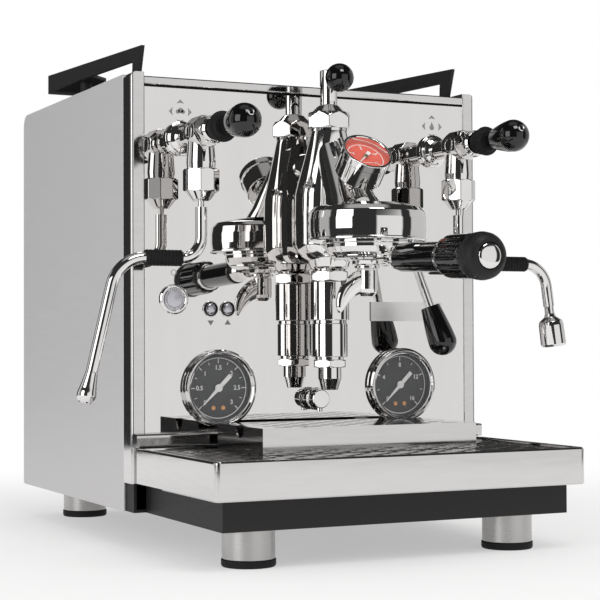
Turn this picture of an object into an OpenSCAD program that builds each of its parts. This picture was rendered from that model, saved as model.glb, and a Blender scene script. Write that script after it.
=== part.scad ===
// Two-boiler espresso machine with a lever group, two wands and three pressure gauges.
// Millimetres, +Z up, front towards -Y. Modules draw around the machine's own datum:
// x = 0 at mid width, y = 0 at the face of the front frame, z = 0 on the worktop.

/* [Body] */
// Width over the side panels
body_w = 340; // [334:1:350]
// Depth from the front frame to the back
body_d = 322; // [318:1:335]
// Height of the side panels' top edge
body_top = 405.8; // [405:0.2:410]
// Height of the side panels' bottom edge
body_bottom = 30.4; // [30:0.2:31]
// Sheet thickness of the casing
sheet = 2; // [1.5:0.1:2.2]
// Width of the polished posts beside the front panel
post_w = 12; // [11:0.5:13]
// Depth of the polished posts
post_d = 20; // [16:1:24]

/* [Drip tray] */
// How far the drip tray stands out in front
tray_d = 178; // [174:1:182]
// Width of the drip tray
tray_w = 336; // [330:1:338]
// Height of the tray's rim
tray_top = 86.3; // [84:0.1:86.5]
// Height of the tray's underside
tray_bottom = 55.5; // [55.5:0.1:58]

/* [Cup stand] */
// Width of the raised cup stand on the grille
riser_w = 200; // [190:1:210]
// Distance of the cup stand's front in front of the frame
riser_front = 114; // [110:1:118]
// Height of the cup stand's top
riser_top = 106; // [104:0.5:110]

/* [Feet] */
// Radius of the steel foot sleeves
foot_r = 21; // [18:0.5:22]
// Thickness of the rubber foot pads
pad_h = 6; // [4:0.5:8]

/* [Group] */
// Distance of the brew bell's axis in front of the frame
bell_y = 105; // [104:0.5:107]
// Radius of the brew bell
bell_r = 49.5; // [48:0.5:49.5]
// Distance of the valve column's axis in front of the frame
column_y = 35; // [34:0.5:37]
// Radius of the flow control ball knob
flow_ball_r = 12.3; // [10:0.1:13]

/* [Portafilter] */
// Radius of the portafilter's cup
cup_r = 36; // [34:0.5:36.5]
// Distance from the bell's axis to the end of the handle
handle_reach = 191; // [185:1:195]
// Radius of the grip's end ring
grip_r = 18; // [16:0.5:19]

/* [Valves and wands] */
// Distance of each valve from the middle
valve_x = 125; // [122:1:126]
// Height of the valves
valve_z = 350; // [348:1:352]
// Radius of the wand tubes
wand_r = 5; // [4:0.5:5]
// Length of the level run of the steam wand
steam_run = 49.5; // [45:0.5:52]
// Length of the level run of the water wand
water_run = 70.5; // [64:0.5:72]

/* [Panel instruments] */
// Distance of each panel gauge from the middle
gauge_x = 90; // [88:1:92]
// Height of the panel gauges
gauge_z = 135.2; // [134:0.2:137]
// Radius of the panel gauges' bezels
gauge_r = 33.5; // [33:0.5:35]

/* [Hidden] */

$fn = 48;
eps = 0.01;
half_w = body_w / 2;
inner_x = half_w - sheet;          // inner face of a side panel
panel_x = half_w - post_w;         // half width of the front panel
panel_face = 0.6;                  // y of the front panel's face
panel_back = panel_face + sheet;
gap = 0.3;                         // clearance between moving neighbours
run_gap = 0.5;                     // clearance of a piece in its hole

// the row's origin is under the middle of the overall box
front_reach = bell_y + handle_reach + 1.5;
centre_y = (body_d - front_reach) / 2;

// chassis
pan_bottom = 31;
pan_top = tray_bottom - 0.2;
pan_front = 13;                    // set-back of the pan behind the tray's face
pan_x = 157;
shelf_z = 149;                     // shelf under the water tank
upright_x = 140;

// top
deck_z = 396;                      // cup surface
bar_bottom = 393.7;                // front frame's top bar
bar_top = 402.5;
tank_x = 120;
tank_y0 = 214;
tank_y1 = 310;
opening_margin = [5, 2];

// cup stand
riser_back = 21;
grille_t = 2;
grille_top = tray_top - 2;

// cup rails
rail_x = 155;
rail_t = 3;

// feet positions
foot_x = 120;
foot_front_y = -130;
foot_rear_y = 276;

// front frame's lower lip
lip_bottom = 86.8;
lip_top = 98;
lip_d = 12;

// group
bell_bottom = 258.6;
bell_top = 286;
bell_bore = 37;
gasket_z = 270;
column_top = 358;
flow_ball_at = [-2.1, -column_y - 25, 402.1];
seat_z = 290;                      // joint between neck and bell
lever_y = -34;
lever_z = 270;
boss_end = 61.5;
// panel gauges, distances behind the frame's face
can_r = 29.7;
can_d = 27;
rim_d = 7.7;
well_r = 29;
well_floor = 2.2;
glass_front = -6;
needle_front = -0.9;

// gauge on the group
gauge_tilt = 45;
group_gauge_r = 21.85;
group_gauge_l = 26;
group_gauge_face = [0, -107.7, 334.3];
stem_l = 6;

// lever: the line from the hub to the handle's end
lever_top = [76, lever_y, lever_z];
lever_end = [107, -55, 163];
lever_vec = lever_end - lever_top;
lever_len = norm(lever_vec);
lever_grip_at = 0.6;               // share of the line where the handle starts

// portafilter
cup_top = 268;
cup_bottom = 243;
handle_z = 243;                    // height of the handle's axis where its sleeve starts
handle_drop = 2;                   // degrees by which the handle falls towards its end
sleeve_at = 60;                    // distances along the handle from the bell's axis
ring_at = 128;
grip_at = 134;
end_at = 170;
// side view of the spout's claw, in x and z about the bell's axis
spout_claw = [[0, 238], [-5.6, 237.5], [-14, 232.5], [-21.7, 225], [-26.6, 217], [-28.7, 209.6],
    [-28.4, 203], [-25.5, 198.3], [-22.6, 203.4], [-17, 208.4], [-9.3, 213], [0, 215]];

// valves
barrel_r = 8.5;
block_y0 = -38;
block_y1 = -78;
block_r = 13;
drop_y = -46;
nut_z0 = 292.5;
nut_cone = 8;                      // height of the lock nut's tapered end
tube_top = 287.8;                  // top of a wand's full-width tube
nut_z1 = 318;
pivot_y = -74;
pivot_r = 5;
ball_z = 304;
ball_r = 6;
run_z = 245;                       // height of the wands' level run
bend_r = 18;                       // first bend
steam_bend = 30;                   // second bend: radius, angle and the straight after it
steam_turn = 76.5;
steam_last = 72;
water_bend = 24;
water_turn = 82;
water_last = 18;

// panel controls
power_pos = [-131.5, 212];
down_pos = [-97.6, 203.7];
up_pos = [-81.6, 203.7];

// ---- helpers ----

// everything is drawn around the datum and moved once into the row's frame
module placed() {
    translate([0, -centre_y, 0]) children();
}

// solid of revolution about a line along Y, its profile in [radius, distance behind y = 0]
module turned_y(x, z) {
    translate([x, 0, z]) rotate([-90, 0, 0]) rotate_extrude() children();
}

// cylinder along Y from y0 to y1
module rod_y(x, z, y0, y1, r) {
    translate([x, y0, z]) rotate([-90, 0, 0]) cylinder(h = y1 - y0, r = r);
}

// cylinder along X from x0 to x1
module rod_x(y, z, x0, x1, r) {
    translate([x0, y, z]) rotate([0, 90, 0]) cylinder(h = x1 - x0, r = r);
}

// box between two corners
module block(low, high) {
    translate(low) cube(high - low);
}

// children drawn along +Z are laid from point a towards point b
module aimed(a, b) {
    v = b - a;
    translate(a) rotate([0, acos(v.z / norm(v)), atan2(v.y, v.x)]) children();
}

module mirrored_pair() {
    children();
    mirror([1, 0, 0]) children();
}

// ---- casing ----

module chassis() {
    wall = 2.5;
    front_y = -tray_d + pan_front;
    color("#1b1b1c") {
        difference() {
            block([-pan_x, front_y, pan_bottom], [pan_x, 0, pan_top]);
            block([-pan_x + wall, front_y + wall, pan_bottom + wall], [pan_x - wall, wall, pan_top + 1]);
        }
        difference() {
            block([-inner_x, 0, pan_bottom], [inner_x, body_d - 4, pan_top]);
            block([-inner_x + wall, -eps, pan_bottom + wall],
                [inner_x - wall, body_d - 4 - wall, pan_top + 1]);
        }
        block([-upright_x - 2, tank_y0 - 9, shelf_z - 4], [upright_x + 2, tank_y1 + 5, shelf_z]);
        mirrored_pair() {
            block([upright_x, 60, pan_bottom + wall - eps], [upright_x + 2, tank_y1 + 5, shelf_z]);
            block([upright_x, 60, shelf_z - eps], [upright_x + 2, 195, 330]);
        }
    }
}

module side_panel() {
    y0 = post_d + gap;
    corner = 10;
    lip = 7;
    difference() {
        union() {
            block([inner_x, y0, body_bottom], [half_w, body_d, body_top]);
            block([inner_x - lip, y0, body_top - sheet], [inner_x + eps, body_d, body_top]);
        }
        translate([inner_x - lip - 1, body_d, body_top]) rotate([45, 0, 0])
            translate([0, -corner / sqrt(2), -corner]) cube([lip + sheet + 2, 2 * corner, 2 * corner]);
    }
}

module side_panel_left() {
    color("#d9d9da") mirror([1, 0, 0]) side_panel();
}

module side_panel_right() {
    color("#d9d9da") side_panel();
}

module front_frame() {
    edge_r = 5;
    color("#c9c8c6") {
        mirrored_pair() {
            block([panel_x, 0, tray_bottom], [half_w, post_d, body_top - edge_r]);
            block([panel_x, 0, body_top - edge_r - eps], [half_w - edge_r, post_d, body_top]);
            rod_y(half_w - edge_r, body_top - edge_r, 0, post_d, edge_r);
        }
        block([-panel_x - eps, 0, bar_bottom], [panel_x + eps, post_d, bar_top]);
        block([-half_w, -lip_d, lip_bottom], [half_w, eps, lip_top]);
    }
}

module front_panel() {
    color("#cfcecb") difference() {
        block([-panel_x + 0.2, panel_face, tray_bottom + 0.5], [panel_x - 0.2, panel_back, bar_bottom - 0.2]);
        mirrored_pair() {
            rod_y(gauge_x, gauge_z, -1, 5, 30);
            rod_y(valve_x, valve_z, -1, 5, barrel_r + run_gap);
        }
        rod_y(power_pos[0], power_pos[1], -1, 5, 11);
        for (p = [down_pos, up_pos]) rod_y(p[0], p[1], -1, 5, 6);
        rod_y(0, 262, -1, 5, 14.5);
        rod_y(0, 330, -1, 5, 14.5);
        rod_y(0, 124.5, -1, 5, 6.5);
    }
}

module rear_panel() {
    slot_w = 5;
    slot_l = 60;
    color("#c9c8c6") difference() {
        block([-inner_x + 0.2, body_d - 3, pan_top + 0.3], [inner_x - 0.2, body_d - 3 + sheet, 393]);
        for (side = [-1, 1], i = [0:8])
            translate([side * 80 - slot_l / 2, body_d - 5, 200 + 14 * i]) cube([slot_l, 6, slot_w]);
        block([102, body_d - 5, 68], [132, body_d, 92]);
    }
}

module top_tray() {
    x1 = tank_x + opening_margin.x;
    color("#c9c8c6") difference() {
        block([-inner_x + 0.2, post_d + 0.5, deck_z - sheet], [inner_x - 0.2, body_d - 0.5, deck_z]);
        block([-x1, tank_y0 - opening_margin.y, deck_z - 5], [x1, tank_y1 + opening_margin.y, deck_z + 1]);
        for (i = [0:6]) translate([-90 + 30 * i - 3, 55, deck_z - 5]) cube([6, 110, 6]);
    }
}

module tank_lid() {
    x1 = tank_x + opening_margin.x + 4;
    finger_r = 11;
    color("#c9c8c6") difference() {
        block([-x1, tank_y0 - 6, deck_z + gap], [x1, tank_y1 + 6, deck_z + gap + 3]);
        translate([0, tank_y0 + 14, deck_z - 1]) cylinder(h = 6, r = finger_r);
    }
}

module water_tank() {
    wall = 2.5;
    z0 = shelf_z + gap;
    color("#b9c6cf", 0.5) difference() {
        block([-tank_x, tank_y0, z0], [tank_x, tank_y1, deck_z - 2.5]);
        block([-tank_x + wall, tank_y0 + wall, z0 + wall], [tank_x - wall, tank_y1 - wall, deck_z]);
    }
}

// one flat-bar cup rail: a bar on a raked front leg, with a flange and a stud at the back
module cup_rail() {
    outline = [[11, 430.5], [281, 442.5], [281, 427], [34, 419.5], [35.5, deck_z], [23, deck_z]];
    flange_z = 424;
    flange_w = 24;
    rear_leg_y = 190;
    translate([rail_x - rail_t / 2, 0, 0]) rotate([90, 0, 90]) linear_extrude(rail_t) polygon(outline);
    difference() {
        block([rail_x - flange_w, 160, flange_z], [rail_x + rail_t / 2, 281, flange_z + rail_t]);
        translate([rail_x - flange_w, 160, flange_z - 1]) rotate([0, 0, 45])
            translate([-12, -12, 0]) cube([24, 24, 6]);
    }
    translate([rail_x - 8, rear_leg_y, deck_z]) cylinder(h = flange_z - deck_z + eps, r = 5);
}

module cup_rails() {
    color("#333335") {
        cup_rail();
        mirror([1, 0, 0]) cup_rail();
    }
}

module drip_tray() {
    wall = 2.5;
    x1 = tray_w / 2;
    ledge_z = tray_top - 4.3;
    color("#d2d0cd") difference() {
        block([-x1, -tray_d, tray_bottom], [x1, -2, tray_top]);
        block([-x1 + wall, -tray_d + wall, ledge_z], [x1 - wall, -2 - wall, tray_top + 1]);
        block([-x1 + 10, -tray_d + 12, tray_bottom + wall], [x1 - 10, -18, ledge_z + 1]);
    }
}

// perforated grille: rows of short oblong slots, every other row shifted by half a pitch
module drip_grille() {
    x1 = tray_w / 2 - 8;
    y0 = -tray_d + 8;
    y1 = -14;
    z0 = grille_top - grille_t;
    slot = [16, 4];
    pitch = [26, 11];
    rows = 12;
    color("#c4c2bf") difference() {
        block([-x1, y0, z0], [x1, y1, grille_top]);
        for (row = [0:rows - 1], i = [-6:5]) {
            sx = (i + 0.25 + 0.5 * (row % 2)) * pitch.x;
            sy = y0 + 18 + row * pitch.y;
            translate([sx, sy, z0 - 1]) {
                translate([-slot.x / 2, -slot.y / 2, 0]) cube([slot.x, slot.y, 4]);
            }
        }
    }
}

// raised cup stand on the grille: folded sheet, slots in its top, a finger notch in each side
module cup_riser() {
    sheet_t = 1.5;
    x1 = riser_w / 2;
    z0 = grille_top + 0.2;
    mid_y = -(riser_front + riser_back) / 2;
    slot = [16, 4];
    pitch = [26, 11];
    rows = 8;
    notch_r = 8.35;
    notch_z = riser_top - 1.9;
    notch_d = 5;
    color("#d2d0cd") difference() {
        block([-x1, -riser_front, z0], [x1, -riser_back, riser_top]);
        block([-x1 + sheet_t, -riser_front + sheet_t, z0 - 1],
            [x1 - sheet_t, -riser_back - sheet_t, riser_top - sheet_t]);
        for (row = [0:rows - 1], i = [-3:3 - row % 2]) {
            sx = (i + 0.5 * (row % 2)) * pitch.x;
            sy = mid_y + (row - (rows - 1) / 2) * pitch.y;
            translate([sx - slot.x / 2, sy - slot.y / 2, riser_top - 3]) cube([slot.x, slot.y, 4]);
        }
        for (side = [-1, 1]) translate([side * x1, mid_y, notch_z]) {
            rotate([0, 90, 0]) cylinder(h = 2 * notch_d, r = notch_r, center = true);
            translate([-notch_d, -notch_r, 0]) cube([2 * notch_d, 2 * notch_r, 3]);
        }
    }
}

module at_feet() {
    for (sx = [-1, 1], y = [foot_front_y, foot_rear_y]) translate([sx * foot_x, y, 0]) children();
}

module foot_sleeves() {
    color("#a9a8a6") at_feet() translate([0, 0, pad_h]) cylinder(h = pan_bottom - pad_h, r = foot_r);
}

module foot_pads() {
    color("#141414") at_feet() cylinder(h = pad_h, r = foot_r + 0.75);
}

module badge_plate() {
    color("#dcdad7") block([59.5, panel_face - 1.5, 193.3], [134, panel_face, 210.6]);
}

// ---- gauges ----

// panel gauge's case about its axis, front at negative heights: rim, can and the well of the dial
module gauge_case() {
    bevel = 3;
    rotate_extrude() difference() {
        union() {
            square([can_r, can_d]);
            translate([0, -rim_d]) square([gauge_r, rim_d + panel_face]);
        }
        translate([0, -rim_d - 1]) square([well_r, rim_d + 1 + well_floor]);
        translate([gauge_r, -rim_d]) rotate(45) square(bevel, center = true);
    }
}

module panel_gauge(side) {
    translate([side * gauge_x, 0, gauge_z]) rotate([-90, 0, 0]) children();
}

// children are drawn with -Z out of the dial
module group_gauge_place() {
    translate(group_gauge_face) rotate([-gauge_tilt - 90, 0, 0]) children();
}

module gauge_cases() {
    color("#c6c5c3") {
        for (side = [-1, 1]) panel_gauge(side) gauge_case();
        group_gauge_place() {
            rotate_extrude() difference() {
                square([group_gauge_r, group_gauge_l]);
                translate([0, -1]) square([group_gauge_r - 2.3, 9]);
            }
            translate([0, 0, group_gauge_l - eps]) cylinder(h = stem_l, r = 9, $fn = 6);
        }
    }
}

module gauge_dials() {
    color("#161616") for (side = [-1, 1]) panel_gauge(side)
        translate([0, 0, well_floor - 1.2]) cylinder(h = 1.2, r = well_r - 0.2);
}

module group_gauge_dial() {
    color("#e5492b") group_gauge_place() translate([0, 0, 6.6]) cylinder(h = 1.4, r = 19.4);
}

module gauge_glasses() {
    color("#eef2f4", 0.25) {
        for (side = [-1, 1]) panel_gauge(side)
            translate([0, 0, glass_front]) cylinder(h = 1.2, r = well_r - 0.1);
        group_gauge_place() translate([0, 0, 1]) cylinder(h = 1.2, r = 19.4);
    }
}

// pointer drawn in the dial's plane, aimed at the scale's start
module needle(length, tail) {
    rotate([0, 0, 45]) {
        translate([-0.6, 0, 0]) cube([1.2, length, 0.5]);
        translate([-1.6, -tail, 0]) cube([3.2, tail, 0.5]);
    }
    cylinder(h = 0.9, r = 2.6);
}

module boiler_needle() {
    color("#f2f2f0") panel_gauge(-1) translate([0, 0, needle_front]) needle(20, 9);
}

module pump_needle() {
    color("#f2f2f0") panel_gauge(1) translate([0, 0, needle_front]) needle(20, 9);
}

module group_needle() {
    color("#f2f2f0") group_gauge_place() translate([0, 0, 5]) needle(14, 6);
}

// ---- panel controls ----

// ring and blind socket of a push button
module button_socket(pos, rim_r, can_r, bore_r, depth) {
    turned_y(pos[0], pos[1]) difference() {
        union() {
            translate([0, -2.2]) square([rim_r, 2.2 + panel_face]);
            square([can_r, depth]);
        }
        translate([0, -3]) square([bore_r, depth + 1.5]);
    }
}

module button_bezels() {
    color("#b9b8b8") {
        button_socket(power_pos, 13, 10.5, 9.5, 16);
        for (p = [down_pos, up_pos]) button_socket(p, 6.5, 5.6, 4.9, 12);
    }
}

module push_button(pos, r, proud, length) {
    rod_y(pos[0], pos[1], -proud, -proud + length, r);
}

module power_button() {
    color("#c8c6cf") push_button(power_pos, 9.2, 2.8, 11);
}

module down_button() {
    color("#cfcecb") push_button(down_pos, 4.6, 2.6, 8);
}

module up_button() {
    color("#cfcecb") push_button(up_pos, 4.6, 2.6, 8);
}

// ---- group ----

module column_stack(z, h, r) {
    for (sx = [-1, 1]) translate([6 * sx, -32, z]) cylinder(h = h, r = r, $fn = 32);
}

module group_body() {
    color("#c9c8c7") {
        // lower column with a rounded bottom
        hull() {
            column_stack(260, 44, 22);
            for (sx = [-1, 1]) translate([6 * sx, -32, 260]) sphere(r = 21, $fn = 32);
        }
        // shoulders up to the cap
        hull() {
            column_stack(303, 1, 22);
            translate([0, -column_y, column_top - 1]) cylinder(h = 1, r = 16, $fn = 32);
        }
        // neck down to the bell
        hull() {
            translate([0, -column_y, column_top - 14]) cylinder(h = 6, r = 14, $fn = 32);
            translate([0, -76, seat_z]) cylinder(h = 2, r = 18, $fn = 32);
        }
        // flange on the front panel and its two pipe stubs
        hull() for (sx = [-1, 1], z = [254, 338]) rod_y(sx * 16, z, panel_face - 5, panel_face, 10);
        for (z = [262, 330]) rod_y(0, z, -34, 14, 14);
        // spigot to the infusion chamber
        translate([0, -column_y, 236.6]) cylinder(h = 12, r1 = 14, r2 = 20);
        // cam housing for the lever
        rod_x(lever_y, lever_z, 10, boss_end, 12);
        // boss under the gauge's stem
        group_gauge_place() translate([0, 0, group_gauge_l + stem_l]) cylinder(h = 10, r = 10);
    }
}

module group_bell() {
    shoulder = 4;
    color("#cbcac9") translate([0, -bell_y, 0]) difference() {
        rotate_extrude() {
            square_top = bell_top - shoulder;
            translate([0, bell_bottom]) square([bell_r, square_top - bell_bottom]);
            translate([0, square_top - eps]) square([bell_r - shoulder, shoulder + eps]);
            translate([bell_r - shoulder, square_top]) circle(r = shoulder, $fn = 48);
            polygon([[0, bell_top - 1], [bell_r - shoulder, bell_top - 1], [bell_r - shoulder, bell_top],
                [34, seat_z - 0.1], [0, seat_z - 0.1]]);
        }
        translate([0, 0, bell_bottom - 1]) cylinder(h = gasket_z + 7 - bell_bottom, r = bell_bore);
    }
}

module group_gasket() {
    color("#1a1a1a") translate([0, -bell_y, gasket_z]) difference() {
        cylinder(h = 5.8, r = bell_bore - 0.2);
        translate([0, 0, -1]) cylinder(h = 8, r = 29.5);
    }
}

module shower_screen() {
    color("#bdbcba") translate([0, -bell_y, gasket_z + 2]) {
        difference() {
            cylinder(h = 1.2, r = 29.2);
            for (ring = [1:3], i = [0:6 * ring - 1]) rotate([0, 0, 60 * i / ring])
                translate([7 * ring, 0, -1]) cylinder(h = 4, r = 1, $fn = 16);
        }
        translate([0, 0, 1.1]) cylinder(h = 2.7, r = 5);
    }
}

module mushroom_cap() {
    hex_r = 20.8;
    color("#bcbbb9") translate([0, -column_y, column_top + 0.1]) rotate([0, 0, -26]) {
        cylinder(h = 2.5, r = 16);
        translate([0, 0, 2.4]) rotate([0, 0, 30]) cylinder(h = 12.1, r = hex_r, $fn = 6);
        translate([0, 0, 14.4]) cylinder(h = 8.4, r1 = 17.9, r2 = 9.5);
    }
}

module flow_spindle() {
    z0 = 381.3;
    color("#c0bfbd") {
        translate([0, -column_y, z0]) cylinder(h = 30.5, r = 7.2);
        aimed([0, -column_y, flow_ball_at.z], flow_ball_at) cylinder(h = 14, r = 4);
    }
}

module flow_knob() {
    color("#0d0d0e") difference() {
        translate(flow_ball_at) sphere(r = flow_ball_r);
        aimed([0, -column_y, flow_ball_at.z], flow_ball_at) cylinder(h = 14.2, r = 4.1);
    }
}

module infusion_chamber() {
    color("#bdbcbb") translate([0, -column_y, 0]) {
        translate([0, 0, 227.5]) rotate([0, 0, 4]) cylinder(h = 9, r = 18.5, $fn = 6);
        translate([0, 0, 193.5]) cylinder(h = 34.1, r = 17.25);
        translate([0, 0, 191]) cylinder(h = 2.6, r = 14.8);
        translate([0, 0, 161.7]) cylinder(h = 29.4, r = 15.7);
        translate([0, 0, 159.5]) cylinder(h = 2.3, r = 13);
        translate([0, 0, 152.5]) rotate([0, 0, 4]) cylinder(h = 7.1, r = 16, $fn = 6);
        translate([0, 0, 143.2]) cylinder(h = 9.4, r = 10.2);
        translate([0, 0, 133.2]) cylinder(h = 10.1, r1 = 7, r2 = 10.2);
    }
}

module drain_spout() {
    z = 124.5;
    color("#c6c5c4") {
        rod_y(0, z, -19, panel_face, 8.2);
        rod_y(0, z, -9, -4, 10);
        rod_y(0, z, panel_face - eps, 12, 6);
        translate([0, -15, z - 11]) cylinder(h = 6, r = 2.6);
    }
}

module brew_lever() {
    color("#c3c2c0") {
        rod_x(lever_y, lever_z, boss_end + gap, 84, 10);
        rod_x(lever_y, lever_z, 84 - eps, 87, 8);
        aimed(lever_top, lever_end) cylinder(h = lever_len * lever_grip_at, r = 4);
    }
}

// teardrop grip turned about +Z: narrow neck first, full round end last
module teardrop(length, neck_r, full_r) {
    c = length - full_r;
    rotate_extrude() intersection() {
        union() {
            translate([0, c]) circle(r = full_r);
            polygon([[0, 0], [neck_r, 0], [full_r * 0.86, c * 0.55], [full_r, c], [0, c]]);
        }
        square([full_r, length]);
    }
}

module lever_handle() {
    start = lever_len * lever_grip_at;
    color("#0e0e0f") aimed(lever_top, lever_end) difference() {
        translate([0, 0, start - 5]) teardrop(lever_len - start + 5, 7.5, 12.6);
        translate([0, 0, start - 6]) cylinder(h = 6.2, r = 4.1);
    }
}

// ---- portafilter ----

// children drawn along +Z run out along the handle from the bell's axis
module along_handle() {
    z0 = handle_z + sleeve_at * sin(handle_drop);
    translate([0, -bell_y, z0]) rotate([90 + handle_drop, 0, 0]) children();
}

module portafilter_body() {
    foot_r1 = 27;
    color("#cccbca") {
        translate([0, -bell_y, 0]) rotate_extrude() difference() {
            polygon([[0, cup_bottom], [foot_r1, cup_bottom], [foot_r1 + 5, cup_bottom + 3],
                [cup_r - 1, cup_bottom + 9], [cup_r, cup_bottom + 14], [cup_r, cup_top], [0, cup_top]]);
            translate([0, cup_bottom + 3]) square([31.5, cup_top]);
            translate([0, cup_bottom - 1]) square([5, 10]);
        }
        difference() {
            along_handle() {
                translate([0, 0, 30]) cylinder(h = sleeve_at - 29.9, r = 8);
                translate([0, 0, 44]) cylinder(h = sleeve_at - 43.9, r = 10);
            }
            translate([0, -bell_y, cup_bottom - 20]) cylinder(h = 60, r = 33);
        }
    }
}

module filter_basket() {
    color("#bdbcba") translate([0, -bell_y, 0]) rotate_extrude() {
        translate([29.2, cup_bottom + 5]) square([0.8, cup_top - cup_bottom - 4.9]);
        translate([0, cup_bottom + 4]) square([30, 1.1]);
        translate([29.2, cup_top + 0.1]) square([5, 1.2]);
    }
}

module portafilter_spout() {
    claw_w = 11;
    color("#c9c8c7") translate([0, -bell_y, 0]) {
        translate([0, claw_w / 2, 0]) rotate([90, 0, 0]) linear_extrude(claw_w) polygon(spout_claw);
        translate([0, 0, 216]) cylinder(h = 20, r = 8.8);
        translate([0, 0, 213]) cylinder(h = 3.1, r1 = 6, r2 = 8.8);
        translate([0, 0, 235.9]) cylinder(h = 3.2, r = 10.5);
        translate([0, 0, 239]) cylinder(h = 3.8, r = 13);
    }
}

module portafilter_handle() {
    end_l = handle_reach - end_at;
    color("#121213") along_handle() {
        translate([0, 0, sleeve_at + 0.1]) cylinder(h = ring_at - sleeve_at, r = 11.7);
        translate([0, 0, ring_at]) cylinder(h = grip_at - ring_at + 0.1, r = 13.5);
        difference() {
            translate([0, 0, grip_at]) cylinder(h = end_at - grip_at + 0.1, r = 16.5);
            for (i = [0:11]) rotate([0, 0, 30 * i]) translate([17.6, 0, grip_at - 1])
                cylinder(h = end_at - grip_at + 1, r = 2.2);
        }
        translate([0, 0, end_at]) rotate_extrude() {
            square([grip_r, end_l * 0.55]);
            polygon([[0, 0], [grip_r, end_l * 0.55], [grip_r - 1.5, end_l * 0.8], [10.5, end_l], [0, end_l]]);
        }
        translate([0, 0, handle_reach - 0.1]) cylinder(h = 1.6, r = 9.5);
    }
}

// ---- valves and wands, drawn for the side at +X ----

module valve() {
    difference() {
        union() {
            rod_y(valve_x, valve_z, block_y0 - 1, 24, barrel_r);
            rod_y(valve_x, valve_z, panel_face - 4, panel_face, 15);
            rod_y(valve_x, valve_z, panel_face - 9, panel_face - 3.9, 12.5);
            rod_y(valve_x, valve_z, block_y1, block_y0, block_r);
            translate([valve_x, drop_y, nut_z1 - 1]) cylinder(h = valve_z - nut_z1, r = 11.5);
            translate([valve_x, drop_y, nut_z0 + nut_cone]) cylinder(h = nut_z1 - nut_z0 - nut_cone, r = 14.5, $fn = 8);
            translate([valve_x, drop_y, nut_z0]) cylinder(h = nut_cone + 0.1, r1 = 7, r2 = 13);
        }
        // sockets of the joystick and of the wand's ball
        translate([valve_x, pivot_y, valve_z]) sphere(r = pivot_r + gap);
        rod_y(valve_x, valve_z, block_y1 - 1, pivot_y, 6);
        translate([valve_x, drop_y, ball_z]) sphere(r = ball_r + gap);
        translate([valve_x, drop_y, nut_z0 - 1]) cylinder(h = nut_cone + 1, r = 4);
    }
}

module pivot() {
    translate([valve_x, pivot_y, valve_z]) sphere(r = pivot_r);
}

module bellows() {
    translate([valve_x, pivot_y, valve_z]) rotate([90, 0, 0]) rotate_extrude() difference() {
        union() {
            for (i = [0:2]) translate([8.2 + i, 10 + 4.5 * i]) circle(r = 2.6, $fn = 24);
            translate([0, 8]) square([8.6, 13.5]);
        }
        translate([-4, 0]) square([7.1, 30]);
    }
}

module knob() {
    translate([valve_x, pivot_y, valve_z]) rotate([90, 0, 0]) {
        translate([0, 0, pivot_r + 0.4]) cylinder(h = 30, r = 3);
        translate([0, 0, 30]) teardrop(45.7, 8, 13.7);
    }
}

// arc of a tube in the XZ plane about [u, z], between two angles measured from +X
module tube_arc(u, z, radius, from, to, r) {
    translate([u, 0, z]) rotate([90, 0, 0]) rotate([0, 0, from])
        rotate_extrude(angle = to - from) translate([radius, 0]) circle(r = r);
}

// short pin inside the tube that joins two stretches where they meet
module core(p, heading) {
    aimed(p - 2 * heading, p) cylinder(h = 4, r = wand_r - 1);
}

module wand(run, out_r, turn, last) {
    heading = [cos(turn), 0, -sin(turn)];
    bend_end = [run + out_r * sin(turn), 0, run_z - out_r + out_r * cos(turn)];
    translate([valve_x, drop_y, 0]) {
        translate([0, 0, ball_z]) sphere(r = ball_r);
        translate([0, 0, tube_top - 0.5]) cylinder(h = ball_z - tube_top + 0.5, r = 2.6);
        translate([0, 0, run_z + bend_r]) cylinder(h = tube_top - run_z - bend_r, r = wand_r);
        tube_arc(bend_r, run_z + bend_r, bend_r, 180, 270, wand_r);
        translate([bend_r, 0, run_z]) rotate([0, 90, 0]) cylinder(h = run - bend_r, r = wand_r);
        tube_arc(run, run_z - out_r, out_r, 90 - turn, 90, wand_r);
        aimed(bend_end, bend_end + heading) cylinder(h = last, r = wand_r);
        core([0, 0, run_z + bend_r], [0, 0, 1]);
        core([bend_r, 0, run_z], [1, 0, 0]);
        core([run, 0, run_z], [1, 0, 0]);
        core(bend_end, heading);
    }
}

module grip(from, to) {
    translate([valve_x + from, drop_y, run_z]) rotate([0, 90, 0]) difference() {
        cylinder(h = to - from, r = wand_r + 1.8);
        translate([0, 0, -1]) cylinder(h = to - from + 2, r = wand_r + 0.05);
    }
}

// nozzle at the end of a wand's last straight, its profile in [radius, distance along the wand]
module nozzle(run, out_r, turn, last, profile) {
    heading = [cos(turn), 0, -sin(turn)];
    bend_end = [run + out_r * sin(turn), 0, run_z - out_r + out_r * cos(turn)];
    start = [valve_x, drop_y, 0] + bend_end + last * heading;
    aimed(start, start + heading) rotate_extrude() polygon(profile);
}

module steam_valve() {
    color("#c8c7c6") mirror([1, 0, 0]) valve();
}

module steam_pivot() {
    color("#bdbcba") mirror([1, 0, 0]) pivot();
}

module steam_knob() {
    color("#0e0e0f") mirror([1, 0, 0]) knob();
}

module steam_bellows() {
    color("#1d1d1e") mirror([1, 0, 0]) bellows();
}

module steam_wand() {
    color("#c9c8c7") mirror([1, 0, 0]) wand(steam_run, steam_bend, steam_turn, steam_last);
}

module steam_grip() {
    color("#1b1b1c") mirror([1, 0, 0]) grip(steam_run - 31.5, steam_run + 0.5);
}

module steam_nozzle() {
    tip = [[0, 0.1], [4.6, 0.1], [5.4, 4], [7.2, 14], [8, 19], [7, 23.5], [4, 26], [0, 26]];
    color("#c4c3c1") mirror([1, 0, 0]) nozzle(steam_run, steam_bend, steam_turn, steam_last, tip);
}

module water_valve() {
    color("#c8c7c6") valve();
}

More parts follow.
